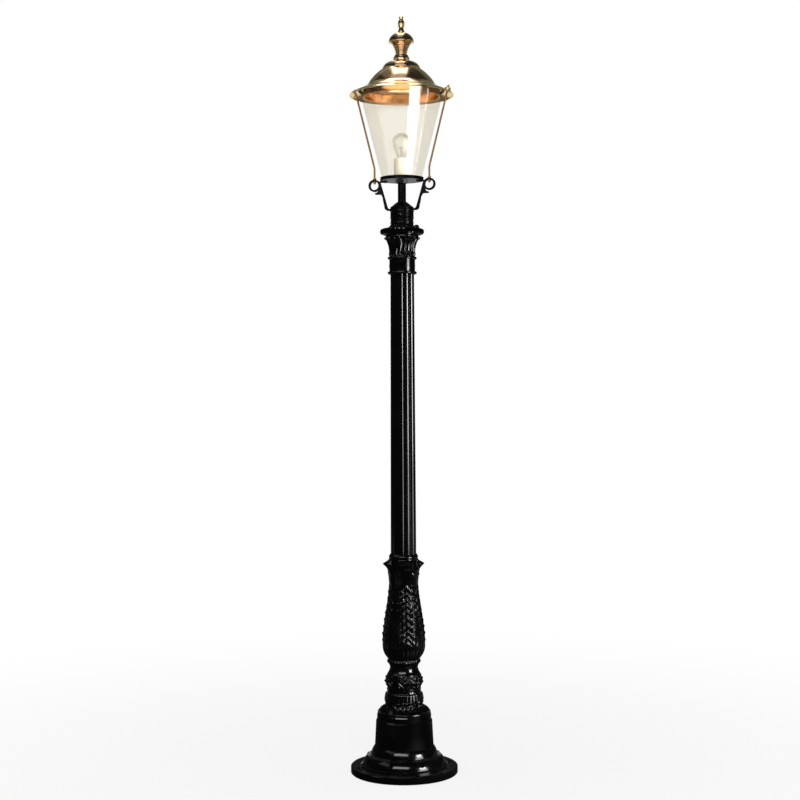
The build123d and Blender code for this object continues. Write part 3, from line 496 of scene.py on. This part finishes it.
curledTips = dict(
    turn=-69, wide=0.64, span=(274, 284, 312, 314),
    throat=51.6, throatLevel=281, taper=0.2,     # the radius between the tips
    scrollSpan=(280, 288, 308, 313), sink=1.12,
    scroll=[(3.2, 8, 298, 3.6, 5.5), (-2.24, 8, 297, 1.6, 2.2), (-1.6, 0, 0, 2.0, inf)],
)


def leafRelief(phi, z, r):
    spans = {name: within(span, z) for name, span in leafPost["spans"].items()}
    half = pi / leafPost["leaves"]
    s = 2 * np.abs(repeat(phi, leafPost["leaves"], leafPost["seam"]))
    side, edge = s * half * r, (1 - s) * half * r          # from the midrib, and from the seam of two leaves
    pitch = leafPost["pitch"]
    size, turns, rise = leafPost["drift"]
    q = (z - leafPost["slant"] * side) / pitch + sway(phi, [(size, turns, z / rise)])
    near = 1 - ease(*leafPost["near"], edge)     # deeper towards the seam
    lobes = (leafPost["vein"] + leafPost["lobe"] * near) * (shingle(q % 1) - leafPost["lobeSink"])
    hairs = leafPost["vein"] * np.cos(2 * pi * leafPost["hairs"] * q) * (1 - near)
    out = spans["leaf"] * (lobes + hairs * ease(*leafPost["clear"], s))
    row = (z / pitch % 1 - 0.5) * pitch          # from the middle of each row of buds
    nextRow = ((z / pitch + 0.5) % 1 - 0.5) * pitch
    out += spans["buds"] * (mounds(edge, row, leafPost["bud"]) - leafPost["budSink"])
    out += spans["outer"] * mounds(edge, nextRow, leafPost["outerBud"])
    out += spans["stem"] * mounds(edge, z, leafPost["stem"])
    out += spans["rib"] * mounds(side, z, leafPost["rib"])
    ribbed = np.cos(leafPost["reeds"] * phi) + np.abs(np.cos(leafPost["cups"] / 2 * phi))
    out += spans["petals"] * (leafPost["petal"] * ribbed - leafPost["petalSink"])
    return out + mounds(edge, z, leafPost["knobs"]) + tipRelief(phi, z, r)


def tipRelief(phi, z, r):
    count = leafPost["leaves"]
    s = 2 * np.abs(repeat(phi, count, curledTips["turn"] + 180 / count))
    nose = arch(s / curledTips["wide"])
    throat = curledTips["throat"] - (z - curledTips["throatLevel"]) * curledTips["taper"]
    out = within(curledTips["span"], z) * np.minimum(throat - r, 0) * (1 - nose)
    curl = mounds(s * pi / count * r, z, curledTips["scroll"]) - curledTips["sink"]
    return out + within(curledTips["scrollSpan"], z) * nose * curl


footLeaves = dict(                               # heights are above the pedestal's foot
    node="pedestal", under="baluster", bore=36, rows=200, columns=392, turn=-76,
    reeds=dict(count=28, foot=(24, 30), top=64, rounding=18, sway=[(1.5, 9, 0)], end=(-3, 0.5), rise=2.0,
               sink=1.2, swell=5.0, thick=28, thin=58, even=0.6, flank=0.4),
    scales=dict(span=(1, 4, 24, 30), count=24, pitch=12, start=2, lean=-0.02, rise=3.8, sink=1.9, round=0.8,
                lift=[(1.9, 7, 0), (1.4, 11, 2)], shift=[(0.2, 5, 0)]),
    hatch=dict(span=(70, 75, 104, 109), count=10, pitch=14, start=90, slant=34, sway=[(2, 5, 0)], rise=4.0,
               taper=1.2, sink=2.0, rib=1.2, narrow=12),
    rope=dict(span=(141, 145, 155, 159), count=28, middle=150, lay=15, rise=2.0, round=0.7, sink=1.4),
)


def reedRelief(phi, z, reeds):
    x = repeat(phi, reeds["count"], footLeaves["turn"])
    crest = arch(2 * x)
    top = reeds["top"] - reeds["rounding"] * x * x + sway(phi, reeds["sway"])
    span = within((*reeds["foot"], *(top + end for end in reeds["end"])), z)
    lean = np.clip((reeds["thin"] - z) / (reeds["thin"] - reeds["thick"]), 0, 1)      # thick at the foot
    flank = reeds["flank"] + (1 - reeds["flank"]) * crest
    return span * (reeds["rise"] * crest - reeds["sink"] + reeds["swell"] * (lean - reeds["even"]) * flank)


def scaleRelief(phi, z, scales):                 # uneven rows of lapped leaf ends
    up = z - scales["start"] + sway(phi, scales["lift"])
    rows = up / scales["pitch"]
    u = phi * scales["count"] / (2 * pi) + 0.5 * (np.floor(rows) % 2) + scales["lean"] * up
    across = (u + sway(phi, scales["shift"])) % 1 - 0.5
    leaf = shingle(rows % 1) * np.cos(pi * across) ** scales["round"]
    return within(scales["span"], z) * (scales["rise"] * leaf - scales["sink"])


def hatchRelief(phi, z, hatch):                  # slanting veins on both sides of each leaf
    x = repeat(phi, hatch["count"], footLeaves["turn"])
    vein = (z - hatch["start"] + hatch["slant"] * np.abs(x) + sway(phi, hatch["sway"])) / hatch["pitch"]
    leaf = hatch["rise"] * shingle(vein % 1) * (1 - hatch["taper"] * np.abs(x))
    rib = hatch["rib"] * np.exp(-(x * hatch["narrow"]) ** 2)
    return within(hatch["span"], z) * (leaf - hatch["sink"] + rib)


def ropeRelief(phi, z, rope):
    strand = repeat(phi, rope["count"]) + (z - rope["middle"]) / rope["lay"]
    twist = np.abs(np.cos(pi * strand)) ** rope["round"]
    return within(rope["span"], z) * (rope["rise"] * twist - rope["sink"])


def footRelief(phi, z, r):
    bands = dict(reeds=reedRelief, scales=scaleRelief, hatch=hatchRelief, rope=ropeRelief)
    return sum(relief(phi, z, footLeaves[name]) for name, relief in bands.items())


crown = dict(                                    # heights are above the capital's foot
    node="capital", bore=30, rows=190, columns=360, leaves=18, turn=-76, foot=57, lip=116,
    front=2.4, keel=3.2, sharp=0.8, back=1.8, sink=2.8, groove=0.9, grooveHalf=0.9,
    torus=(125, 145), torusSpan=(124.5, 127, 143, 145), core=62.0, swell=2.5,
    span=(0.0, 0.06, 1.0, 1.04),                 # from here on in shares of a leaf's length or pitch
    half=0.27, flare=0.20, flareSpan=(0.05, 0.6), tip=(1.03, 0.36),
    backHalf=0.34, backSpan=(0.3, 0.5), backTip=(1.02, 0.3),
    thinnest=0.02, grooveSpan=(0.1, 0.3, 0.8, 0.92),
)


def crownRelief(phi, z, r):
    count, thinnest = crown["leaves"], crown["thinnest"]
    x = repeat(phi, count, crown["turn"])
    behind = repeat(phi, count, crown["turn"] + 180 / count)
    t = (z - crown["foot"]) / (crown["lip"] - crown["foot"])
    taper, backTaper = (np.sqrt(np.clip((end - t) / length, thinnest, 1))
                        for end, length in (crown["tip"], crown["backTip"]))
    half = (crown["half"] + crown["flare"] * ease(*crown["flareSpan"], t)) * taper
    backHalf = crown["backHalf"] * backTaper * ease(*crown["backSpan"], t)
    front = arch(x / half)
    back = arch(behind / np.maximum(backHalf, thinnest)) * (1 - front)
    keel = np.clip(1 - np.abs(x) / half, 0, 1) ** crown["sharp"]
    leaf = crown["front"] * front + crown["keel"] * keel + crown["back"] * back - crown["sink"]
    across = x * 2 * pi * r / count
    vein = crown["groove"] * np.exp(-(across / crown["grooveHalf"]) ** 2) * within(crown["grooveSpan"], t)
    low, high = crown["torus"]                   # plain under its beads
    torus = within(crown["torusSpan"], z)
    swell = crown["swell"] * arch((z - (low + high) / 2) / (high - low) * 2)
    plainTorus = np.minimum(crown["core"] + swell - r, 0)
    return within(crown["span"], t) * (leaf - vein) * (1 - torus) + torus * plainTorus


neckRings = dict(node="hood_neck", bore=15, rows=150, columns=128, body="hood", slot="copper",
                 rings=4, start=1, length=30, span=(1, 4, 27, 31), rise=0.9)


def ringRelief(phi, z, r):
    wave = np.cos(2 * pi * neckRings["rings"] * (z - neckRings["start"]) / neckRings["length"])
    return neckRings["rise"] * (wave * within(neckRings["span"], z) - 1) + 0 * phi


bellRim = dict(columns=144, profile=[            # heights are from the pedestal's foot
    (83.2, -27.5), (84.5, -26.4), (84.5, -21.6), (83.9, -21), (84.5, -20.4), (84.5, -9.4), (83.4, -7.6),
    (80, -7), (66, -7), (66, -27.5)])

pedestalFoot = levels("pedestal")[0]
capitalFoot = levels("capital")[0]
lanternFoot = levels("lantern_foot")
turned("bellRim", pedestalFoot, bellRim)
carved("leafBaluster", leafPost, leafRelief)
carved("leafPedestal", footLeaves, footRelief)
carved("leafCapital", crown, crownRelief)
carved("ringedNeck", neckRings, ringRelief)
print("castings carved")


# fasteners, beads and wire, in millimetres and degrees

def latheMesh(name, profile, columns):           # (radius, height), from pole to pole
    turn = [i * 2 * pi / columns for i in range(columns)]
    points = [(0, 0, profile[0][1]), (0, 0, profile[-1][1])]
    for r, z in profile[1:-1]:
        points += [(r * cos(a), r * sin(a), z) for a in turn]
    faces = []
    last = 2 + (len(profile) - 3) * columns
    for i in range(columns):
        j = (i + 1) % columns
        faces.append((0, 2 + j, 2 + i))
        for low in range(2, last, columns):
            faces.append((low + i, low + j, low + columns + j, low + columns + i))
        faces.append((1, last + i, last + j))
    mesh = bpy.data.meshes.new(name)
    mesh.from_pydata([tuple(v * mm for v in point) for point in points], [], faces)
    mesh.shade_smooth()
    return mesh


def plain(shaped):                               # what its modifiers make, as a mesh
    return bpy.data.meshes.new_from_object(shaped.evaluated_get(bpy.context.evaluated_depsgraph_get()))


screwHead = dict(rim=0.4, wall=0.35, steps=9, columns=36, over=3, crease=35)
slotted = dict(sides=4, reach=9.0, thin=0.09, deep=1.6)
socketed = dict(sides=6, reach=3.6, thin=1.0, deep=2.6)
fasteners = dict(
    base_screws=dict(head=(7.0, 4.5), shank=(4.0, 30), drive=socketed, tip=90,
                     count=8, radius=121, turn=-50),
    capital_screws=dict(head=(6.0, 3.5), shank=(4.0, 9), drive=slotted, tip=90,
                        count=3, radius=40.9, turn=-75),
    foot_bolts=dict(head=(6.5, 5.0), shank=(4.0, 22), drive=slotted, tip=0,
                    count=3, radius=46, turn=15),
)


def screw(name, spec):                           # domed head with a slot or a six-sided socket, along +Z
    r, h = spec["head"]
    shank, length = spec["shank"]
    rim, wall = screwHead["rim"], screwHead["wall"]
    rise = np.linspace(0, pi / 2, screwHead["steps"])[:-1]
    dome = [(r * cos(a), wall * h + (1 - wall) * h * sin(a)) for a in rise]
    profile = [(0, -length), (shank, -length), (shank, 0), (r - rim, 0), (r, rim), *dome, (0, h)]
    blank = shown(name, latheMesh(name, profile, screwHead["columns"]))
    drive = spec["drive"]
    reach, low, high = drive["reach"], h - drive["deep"], h + screwHead["over"]
    hole = [(0, low), (reach, low), (reach, high), (0, high)]
    knife = shown(name + "Knife", latheMesh(name + "Knife", hole, drive["sides"]))
    knife.data.transform(Matrix.Diagonal((drive["thin"], 1, 1, 1)))
    cut = blank.modifiers.new("drive", "BOOLEAN")
    cut.operation, cut.solver, cut.object = "DIFFERENCE", "EXACT", knife
    mesh = plain(blank)
    mesh.materials.clear()
    mesh.set_sharp_from_angle(angle=radians(screwHead["crease"]))
    for made in (blank, knife):
        bpy.data.objects.remove(made)
    mesh.transform(Matrix.Rotation(radians(spec["tip"]), 4, "Y"))
    return mesh


def screwLevel(name, spec):                      # of its axis, or of the foot of an upright bolt's head
    low, high = levels(name)
    return (low + high) / 2 if spec["tip"] else high - spec["head"][1]


def ringTree():                                  # copies of a shape round the post's axis
    tree = Grower("ringOf", Count="Int", Radius="Float", Height="Float", Turn="Float")
    given = tree.given
    sockets = {"Vertices": given["Count"], "Radius": given["Radius"]}
    spots = tree.node("GeometryNodeMeshCircle", None, sockets)
    step = tree.node("GeometryNodeInputIndex") * (2 * pi) / given["Count"]
    sockets = {"Points": spots, "Instance": given["Geometry"], "Rotation": tree.vector(z=step)}
    ring = tree.node("GeometryNodeInstanceOnPoints", None, sockets)
    tree.finish(ring, given["Height"], given["Turn"])
    return tree


def hoopTree():                                  # a half-sunk round moulding
    tree = Grower("hoopOf", Points="Int", Sides="Int", Radius="Float", Wire="Float", Height="Float")
    given = tree.given
    path = tree.circle(given["Points"], given["Radius"])
    tree.finish(tree.rod(path, tree.circle(given["Sides"], given["Wire"])), given["Height"])
    return tree


def coilTree():                                  # wire wound round an open hoop, beside the stock
    tree = Grower("coilOf", Turns="Int", Steps="Int", Sides="Int", Hoop="Float", Coil="Float", Wire="Float",
                  Height="Float", Start="Float", Sweep="Float")
    given = tree.given
    sockets = {"Resolution": given["Turns"] * given["Steps"], "Radius": given["Hoop"],
               "Start Angle": given["Start"], "Sweep Angle": given["Sweep"]}
    hoop = tree.node("GeometryNodeCurveArc", None, sockets)
    x, y = tree.axes(tree.node("GeometryNodeInputPosition"))[:2]
    angle = tree.node("GeometryNodeInputIndex") * (2 * pi) / given["Steps"]
    out = tree.node("ShaderNodeMath", {"operation": "COSINE"}, {0: angle}) * given["Coil"] / given["Hoop"]
    up = tree.node("ShaderNodeMath", {"operation": "SINE"}, {0: angle}) * given["Coil"]
    sockets = {"Geometry": hoop, "Offset": tree.vector(x * out, y * out, up)}
    wound = tree.node("GeometryNodeSetPosition", None, sockets)
    wire = tree.rod(wound, tree.circle(given["Sides"], given["Wire"]), True)
    both = tree.node("GeometryNodeJoinGeometry", None, {"Geometry": [wire, given["Geometry"]]})
    tree.finish(both, given["Height"])
    return tree


def grown(tree, name, stock, sizes, *replaced, body="post", slot="black_paint"):
    holder = shown(name + "Stock", stock or bpy.data.meshes.new(name + "Stock"))
    growth = holder.modifiers.new("growth", "NODES")
    growth.node_group = tree.tree
    values = dict(sizes, Finish=finishes[slot])
    for socket in tree.tree.interface.items_tree:
        if socket.in_out == "INPUT" and socket.name in values:
            growth[socket.identifier] = values[socket.name]
    mesh = plain(holder)
    holder.modifiers.remove(growth)
    bpy.data.objects.remove(holder)
    addPiece(name, mesh, body, slot, *replaced)


def ringSizes(spec, height):
    return dict(Count=spec["count"], Radius=spec["radius"] * mm, Height=height * mm,
                Turn=radians(spec["turn"]))


ringOf, coilOf, hoopOf = ringTree(), coilTree(), hoopTree()
for name, spec in fasteners.items():
    grown(ringOf, name + "Slotted", screw(name, spec), ringSizes(spec, screwLevel(name, spec)), name)

bosses = dict(count=3, radius=40.3, turn=-75, columns=40, profile=[
    (0, -2), (11, -2), (11, 0.4), (10.6, 1.5), (9.9, 2.2), (9, 2.5), (8.1, 2.2), (7.4, 1.5), (7, 0.4),
    (0, 0.4)])
bossLevel = screwLevel("capital_screws", fasteners["capital_screws"])
boss = latheMesh("boss", bosses["profile"], bosses["columns"])
boss.transform(Matrix.Rotation(pi / 2, 4, "Y"))
grown(ringOf, "capitalBosses", boss, ringSizes(bosses, bossLevel))

eggs = dict(rows=12, columns=18)                 # of each bead, dart and leaf end
beads = dict(count=30, half=(5.0, 5.2, 9.0), radius=65.1, turn=-76, lean=32)
darts = dict(beads, half=(3.2, 0.9, 6.0), turn=beads["turn"] + 180 / beads["count"])
tips = dict(count=18, half=(4.2, 5.6, 4.4), radius=50.4, rise=113.5, turn=-76, tilt=-25)
shoulders = dict(                                # on the bell's shoulder, round the pedestal's foot
    upper=dict(count=22, half=(9.0, 6.4, 4.6), radius=67.5, rise=1.5, turn=-70, tilt=30),
    lower=dict(count=17, half=(7.6, 8.0, 4.0), radius=75.0, rise=-3.5, turn=-78, tilt=42),
)


def egg(name, spec):
    rows = [(cos(a), sin(a)) for a in np.linspace(-pi / 2, pi / 2, eggs["rows"])]
    mesh = latheMesh(name, [(0, -1)] + rows[1:-1] + [(0, 1)], eggs["columns"])
    tilt = Matrix.Rotation(radians(spec.get("tilt", 0)), 4, "Y")
    lean = Matrix.Rotation(radians(spec.get("lean", 0)), 4, "X")
    mesh.transform(tilt @ lean @ Matrix.Diagonal((*spec["half"], 1)))
    return mesh


beadLevel = capitalFoot + sum(crown["torus"]) / 2
grown(ringOf, "capitalBeads", egg("bead", beads), ringSizes(beads, beadLevel))
grown(ringOf, "capitalDarts", egg("dart", darts), ringSizes(darts, beadLevel))
grown(ringOf, "capitalTips", egg("tip", tips), ringSizes(tips, capitalFoot + tips["rise"]))
for name, spec in shoulders.items():
    grown(ringOf, name + "ShoulderLeaves", egg(name, spec), ringSizes(spec, pedestalFoot + spec["rise"]))

hoops = dict(points=72, sides=14, low=(36.4, 1.6, lanternFoot[0] + 18),      # radius, thickness and height
             high=(37.0, 1.7, lanternFoot[1] - 2.5))
for name in ("low", "high"):
    radius, wire, height = hoops[name]
    sizes = dict(Points=hoops["points"], Sides=hoops["sides"], Radius=radius * mm, Wire=wire * mm,
                 Height=height * mm)
    grown(hoopOf, name + "FootRing", None, sizes)

coil = dict(turns=34, steps=12, sides=6, hoop=8.6, coil=0.75, wire=0.13, start=0.4, sweep=5.5)
stays = dict(count=5, first=0.5, step=1.25, middle=4.7, drop=0.4, radius=0.2, length=7.8, sides=6)


def coilStays():                                 # wires that hold the coil
    made = bmesh.new()
    for i in range(stays["count"]):
        turn = Matrix.Rotation(stays["first"] + i * stays["step"], 4, "Z")
        place = Matrix.Translation((stays["middle"] * mm, 0, -stays["drop"] * mm))
        bmesh.ops.create_cone(made, cap_ends=True, segments=stays["sides"], radius1=stays["radius"] * mm,
                              radius2=stays["radius"] * mm, depth=stays["length"] * mm,
                              matrix=turn @ place @ Matrix.Rotation(pi / 2, 4, "Y"))
    mesh = bpy.data.meshes.new("coilWires")
    made.to_mesh(mesh)
    made.free()
    return mesh


low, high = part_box("filament")
sizes = dict(Turns=coil["turns"], Steps=coil["steps"], Sides=coil["sides"], Hoop=coil["hoop"] * mm,
             Coil=coil["coil"] * mm, Wire=coil["wire"] * mm, Height=float(low[2] + high[2]) / 2,
             Start=coil["start"], Sweep=coil["sweep"])
grown(coilOf, "filamentCoil", coilStays(), sizes, "filament", body="bulb", slot="tungsten")
print("fasteners, beads and wire grown")


# studio, in metres and degrees

white = (1, 1, 1, 1)
backdrop = dict(
    fill=(0.55, 0.55, 0.55, 1),                  # what lights a rough surface
    side=(0.02, 0.021, 0.02, 1),                 # what a polished surface sees beside the lights
    above=(0.03, 0.033, 0.03, 1),                # behind and high up
    lift=(0.15, 0.45), back=(0.2, 0.6),
)
ground = dict(
    reach=7.0, pale=(0.82, 0.82, 0.81, 1), dark=(0.78, 0.78, 0.77, 1), grains=(60, 3), grained=0.15,
    bright=0.80, fade=(0.2, 3.0),                # how white the camera sees it, and where it turns all white
    spill=(0.25, 0.25, 0.25, 1), spillAt=(0.52, -0.3), spillFade=(0.05, 0.5),      # a painted glow where the key light falls, seen only in reflections
    patch=(0.14, 0.14, 0.13, 1), patchAt=(-1.2, -2.5), patchFade=(0.4, 1.7),       # a painted glow ahead on the left, seen only in reflections
    behind=(0.5, 1.2),                           # and a painted glow behind
)


def makeWorld():
    world = bpy.data.worlds.new("studio")
    bpy.context.scene.world = world
    board = Board(world)
    camera, through, glossy = board.rays()
    y, z = board.axes(board.node("ShaderNodeTexCoord", out="Generated"))[1:]
    lifted = board.between(z, *backdrop["lift"]) * board.between(y, *backdrop["back"])
    mirrored = board.blend(lifted, backdrop["side"], backdrop["above"])
    colour = board.blend(glossy, backdrop["fill"], mirrored)
    colour = board.blend(board.between(camera + through, 0.0, 1.0), colour, white)
    board.close(board.node("ShaderNodeBackground", None, {"Color": colour, "Strength": 1.0}),
                "ShaderNodeOutputWorld")


def makeFloor():
    material, board = newFinish("paleFloor")
    where = board.place()
    x, y = board.axes(where)[:2]
    camera, through, glossy = board.rays()
    grain = board.noise(where, *ground["grains"]) * ground["grained"]
    colour = board.blend(grain, ground["pale"], ground["dark"])
    pale = board.node("ShaderNodeBsdfDiffuse", None, {"Color": colour})
    bright = board.node("ShaderNodeEmission", None, {"Color": white, "Strength": 1.0})
    away = board.between(board.distance(x, y), *ground["fade"])
    share = (camera + through) * (ground["bright"] + away * (1 - ground["bright"]))
    spill = 1 - board.between(board.distance(x, y, ground["spillAt"]), *ground["spillFade"])
    patch = 1 - board.between(board.distance(x, y, ground["patchAt"]), *ground["patchFade"])
    mirrored = board.blend(spill, backdrop["side"], ground["spill"])
    mirrored = board.blend(patch, mirrored, ground["patch"])
    mirrored = board.blend(board.between(y, *ground["behind"]), mirrored, ground["patch"])
    # what polished surfaces see of the floor is a painted glow, not lamplight
    dim = board.node("ShaderNodeEmission", None, {"Color": mirrored, "Strength": 1.0})
    board.close(board.mixed(glossy, board.mixed(share, pale, bright), dim))
    mesh = bpy.data.meshes.new("floor")
    reach = ground["reach"]
    corners = [(-reach, -reach, 0), (reach, -reach, 0), (reach, reach, 0), (-reach, reach, 0)]
    mesh.from_pydata(corners, [], [(0, 1, 2, 3)])
    mesh.materials.append(material)
    floor = shown("floor", mesh)


softboxes = dict(                                # what the castings mirror
    keyTop=dict(turn=55, away=3.0, height=1.64, wide=1.0, tall=0.38, aim=1.64, glow=32.0),
    keyRight=dict(turn=55, away=3.0, height=1.18, wide=1.0, tall=0.54, aim=1.18, glow=19.0),
    keyLow=dict(turn=53, away=3.0, height=0.66, wide=1.5, tall=0.5, aim=0.66, glow=7.0),
    highLeft=dict(turn=-75, away=3.0, height=3.6, wide=2.6, tall=1.6, aim=1.2, glow=0.5),
    backLeft=dict(turn=-166, away=3.0, height=1.1, wide=0.5, tall=2.0, aim=1.1, glow=0.5),
    backRight=dict(turn=167, away=3.0, height=1.1, wide=0.4, tall=2.0, aim=1.1, glow=0.4),
    fillLeft=dict(turn=-14, away=3.5, height=3.2, wide=3.7, tall=1.24, aim=1.2, glow=5.0),
)
under = dict(                                    # what the bottom plate mirrors
    plate=dict(turn=180, away=4.0, height=1.2, wide=6.0, tall=1.8, aim=1.5, glow=0.34),
)
windows = dict(                                  # what the glass mirrors
    strip=dict(turn=39, away=3.0, height=1.0, wide=1.8, tall=1.9, aim=1.1, glow=120.0),
    sliver=dict(turn=80, away=3.0, height=1.0, wide=0.14, tall=1.7, aim=1.1, glow=26.0),
)
green, paleGreen = (0.9, 1.0, 0.78), (0.93, 1.0, 0.88)
panels = dict(                                   # dim boards that only the lantern's metal mirrors
    front=dict(turn=-7, away=3.2, height=2.6, wide=4.0, tall=2.4, aim=2.2, glow=1.25),
    top=dict(turn=0, away=-1.3, height=4.4, wide=1.0, tall=2.8, aim=None, slide=-0.1, glow=3.0),
    topLeft=dict(turn=0, away=-1.3, height=4.4, wide=0.8, tall=2.8, aim=None, slide=-1.0, glow=0.14),
    topFront=dict(turn=0, away=0.75, height=4.4, wide=1.4, tall=1.3, aim=None, slide=-0.3, glow=0.45),
    left=dict(turn=-90, away=3.0, height=2.4, wide=4.2, tall=2.4, aim=2.2, glow=0.35, tone=green),
    right=dict(turn=90, away=3.0, height=2.4, wide=4.2, tall=2.4, aim=2.2, glow=0.35, tone=green),
    backdrop=dict(turn=180, away=5.0, height=2.0, wide=9.0, tall=4.0, aim=2.0, glow=0.9, tone=paleGreen),
    below=dict(turn=0, away=2.4, height=0.3, wide=5.0, tall=3.4, aim=2.2, glow=1.6),
    belowNear=dict(turn=0, away=0.8, height=0.1, wide=3.2, tall=1.6, aim=2.2, glow=2.6),
    olive=dict(turn=180, away=3.5, height=4.6, wide=6.0, tall=3.0, aim=2.2, glow=0.12, tone=(0.8, 1.0, 0.82)),
    inner=dict(turn=0, away=0.0, height=1.93, wide=0.22, tall=0.22, aim=2.5, glow=0.8),
)
washes = dict(                                   # light that no polished surface mirrors
    wash=dict(turn=5, away=3.0, height=3.4, wide=2.4, tall=2.4, aim=1.0, glow=3.2),
)


def placeLights(boxes, lit=None, mirrored=True):
    along = radians(view["azimuth"])
    for name, box in boxes.items():
        light = bpy.data.lights.new(name, "AREA")
        light.shape = "RECTANGLE"
        light.size, light.size_y = box["wide"], box["tall"]
        light.energy = pi * box["wide"] * box["tall"] * box["glow"]      # so that glow is what a mirror shows
        light.color = box.get("tone", white[:3])
        lamp = shown(name, light)
        lamp.light_linking.receiver_collection = lit
        turn = along + radians(box["turn"])
        lamp.location = (sin(turn) * box["away"], -cos(turn) * box["away"], box["height"])
        lamp.rotation_euler = (0, 0, along)      # a board without an aim faces straight down
        if box["aim"]:
            aim = Vector((0, 0, box["aim"])) - lamp.location
            lamp.rotation_euler = aim.to_track_quat("-Z", "Y").to_euler()
        lamp.location += Vector((cos(along), sin(along), 0)) * box.get("slide", 0.0)
        lamp.visible_camera = False
        lamp.visible_transmission = False
        lamp.visible_glossy = mirrored


def listed(name, finishNames):                   # the pieces and nodes that wear these finishes
    kept = bpy.data.collections.new(name)
    wanted = [finishes[finish] for finish in finishNames]
    for piece in bpy.data.objects:
        if piece.type == "MESH" and piece.data.materials and piece.data.materials[0] in wanted:
            kept.objects.link(piece)
    return kept


makeWorld()
makeFloor()
placeLights(softboxes, listed("castings", ["black_paint", "steel"]))
placeLights(under, listed("plate", ["zinc_sheet"]))
placeLights(windows, listed("glazing", ["lantern_glass", "bulb_glass"]))
placeLights(panels, listed("lanternMetal", ["copper", "brass", "aged_brass"]))
placeLights(washes, mirrored=False)
bpy.context.scene.view_settings.view_transform = "Standard"
print("studio lit")
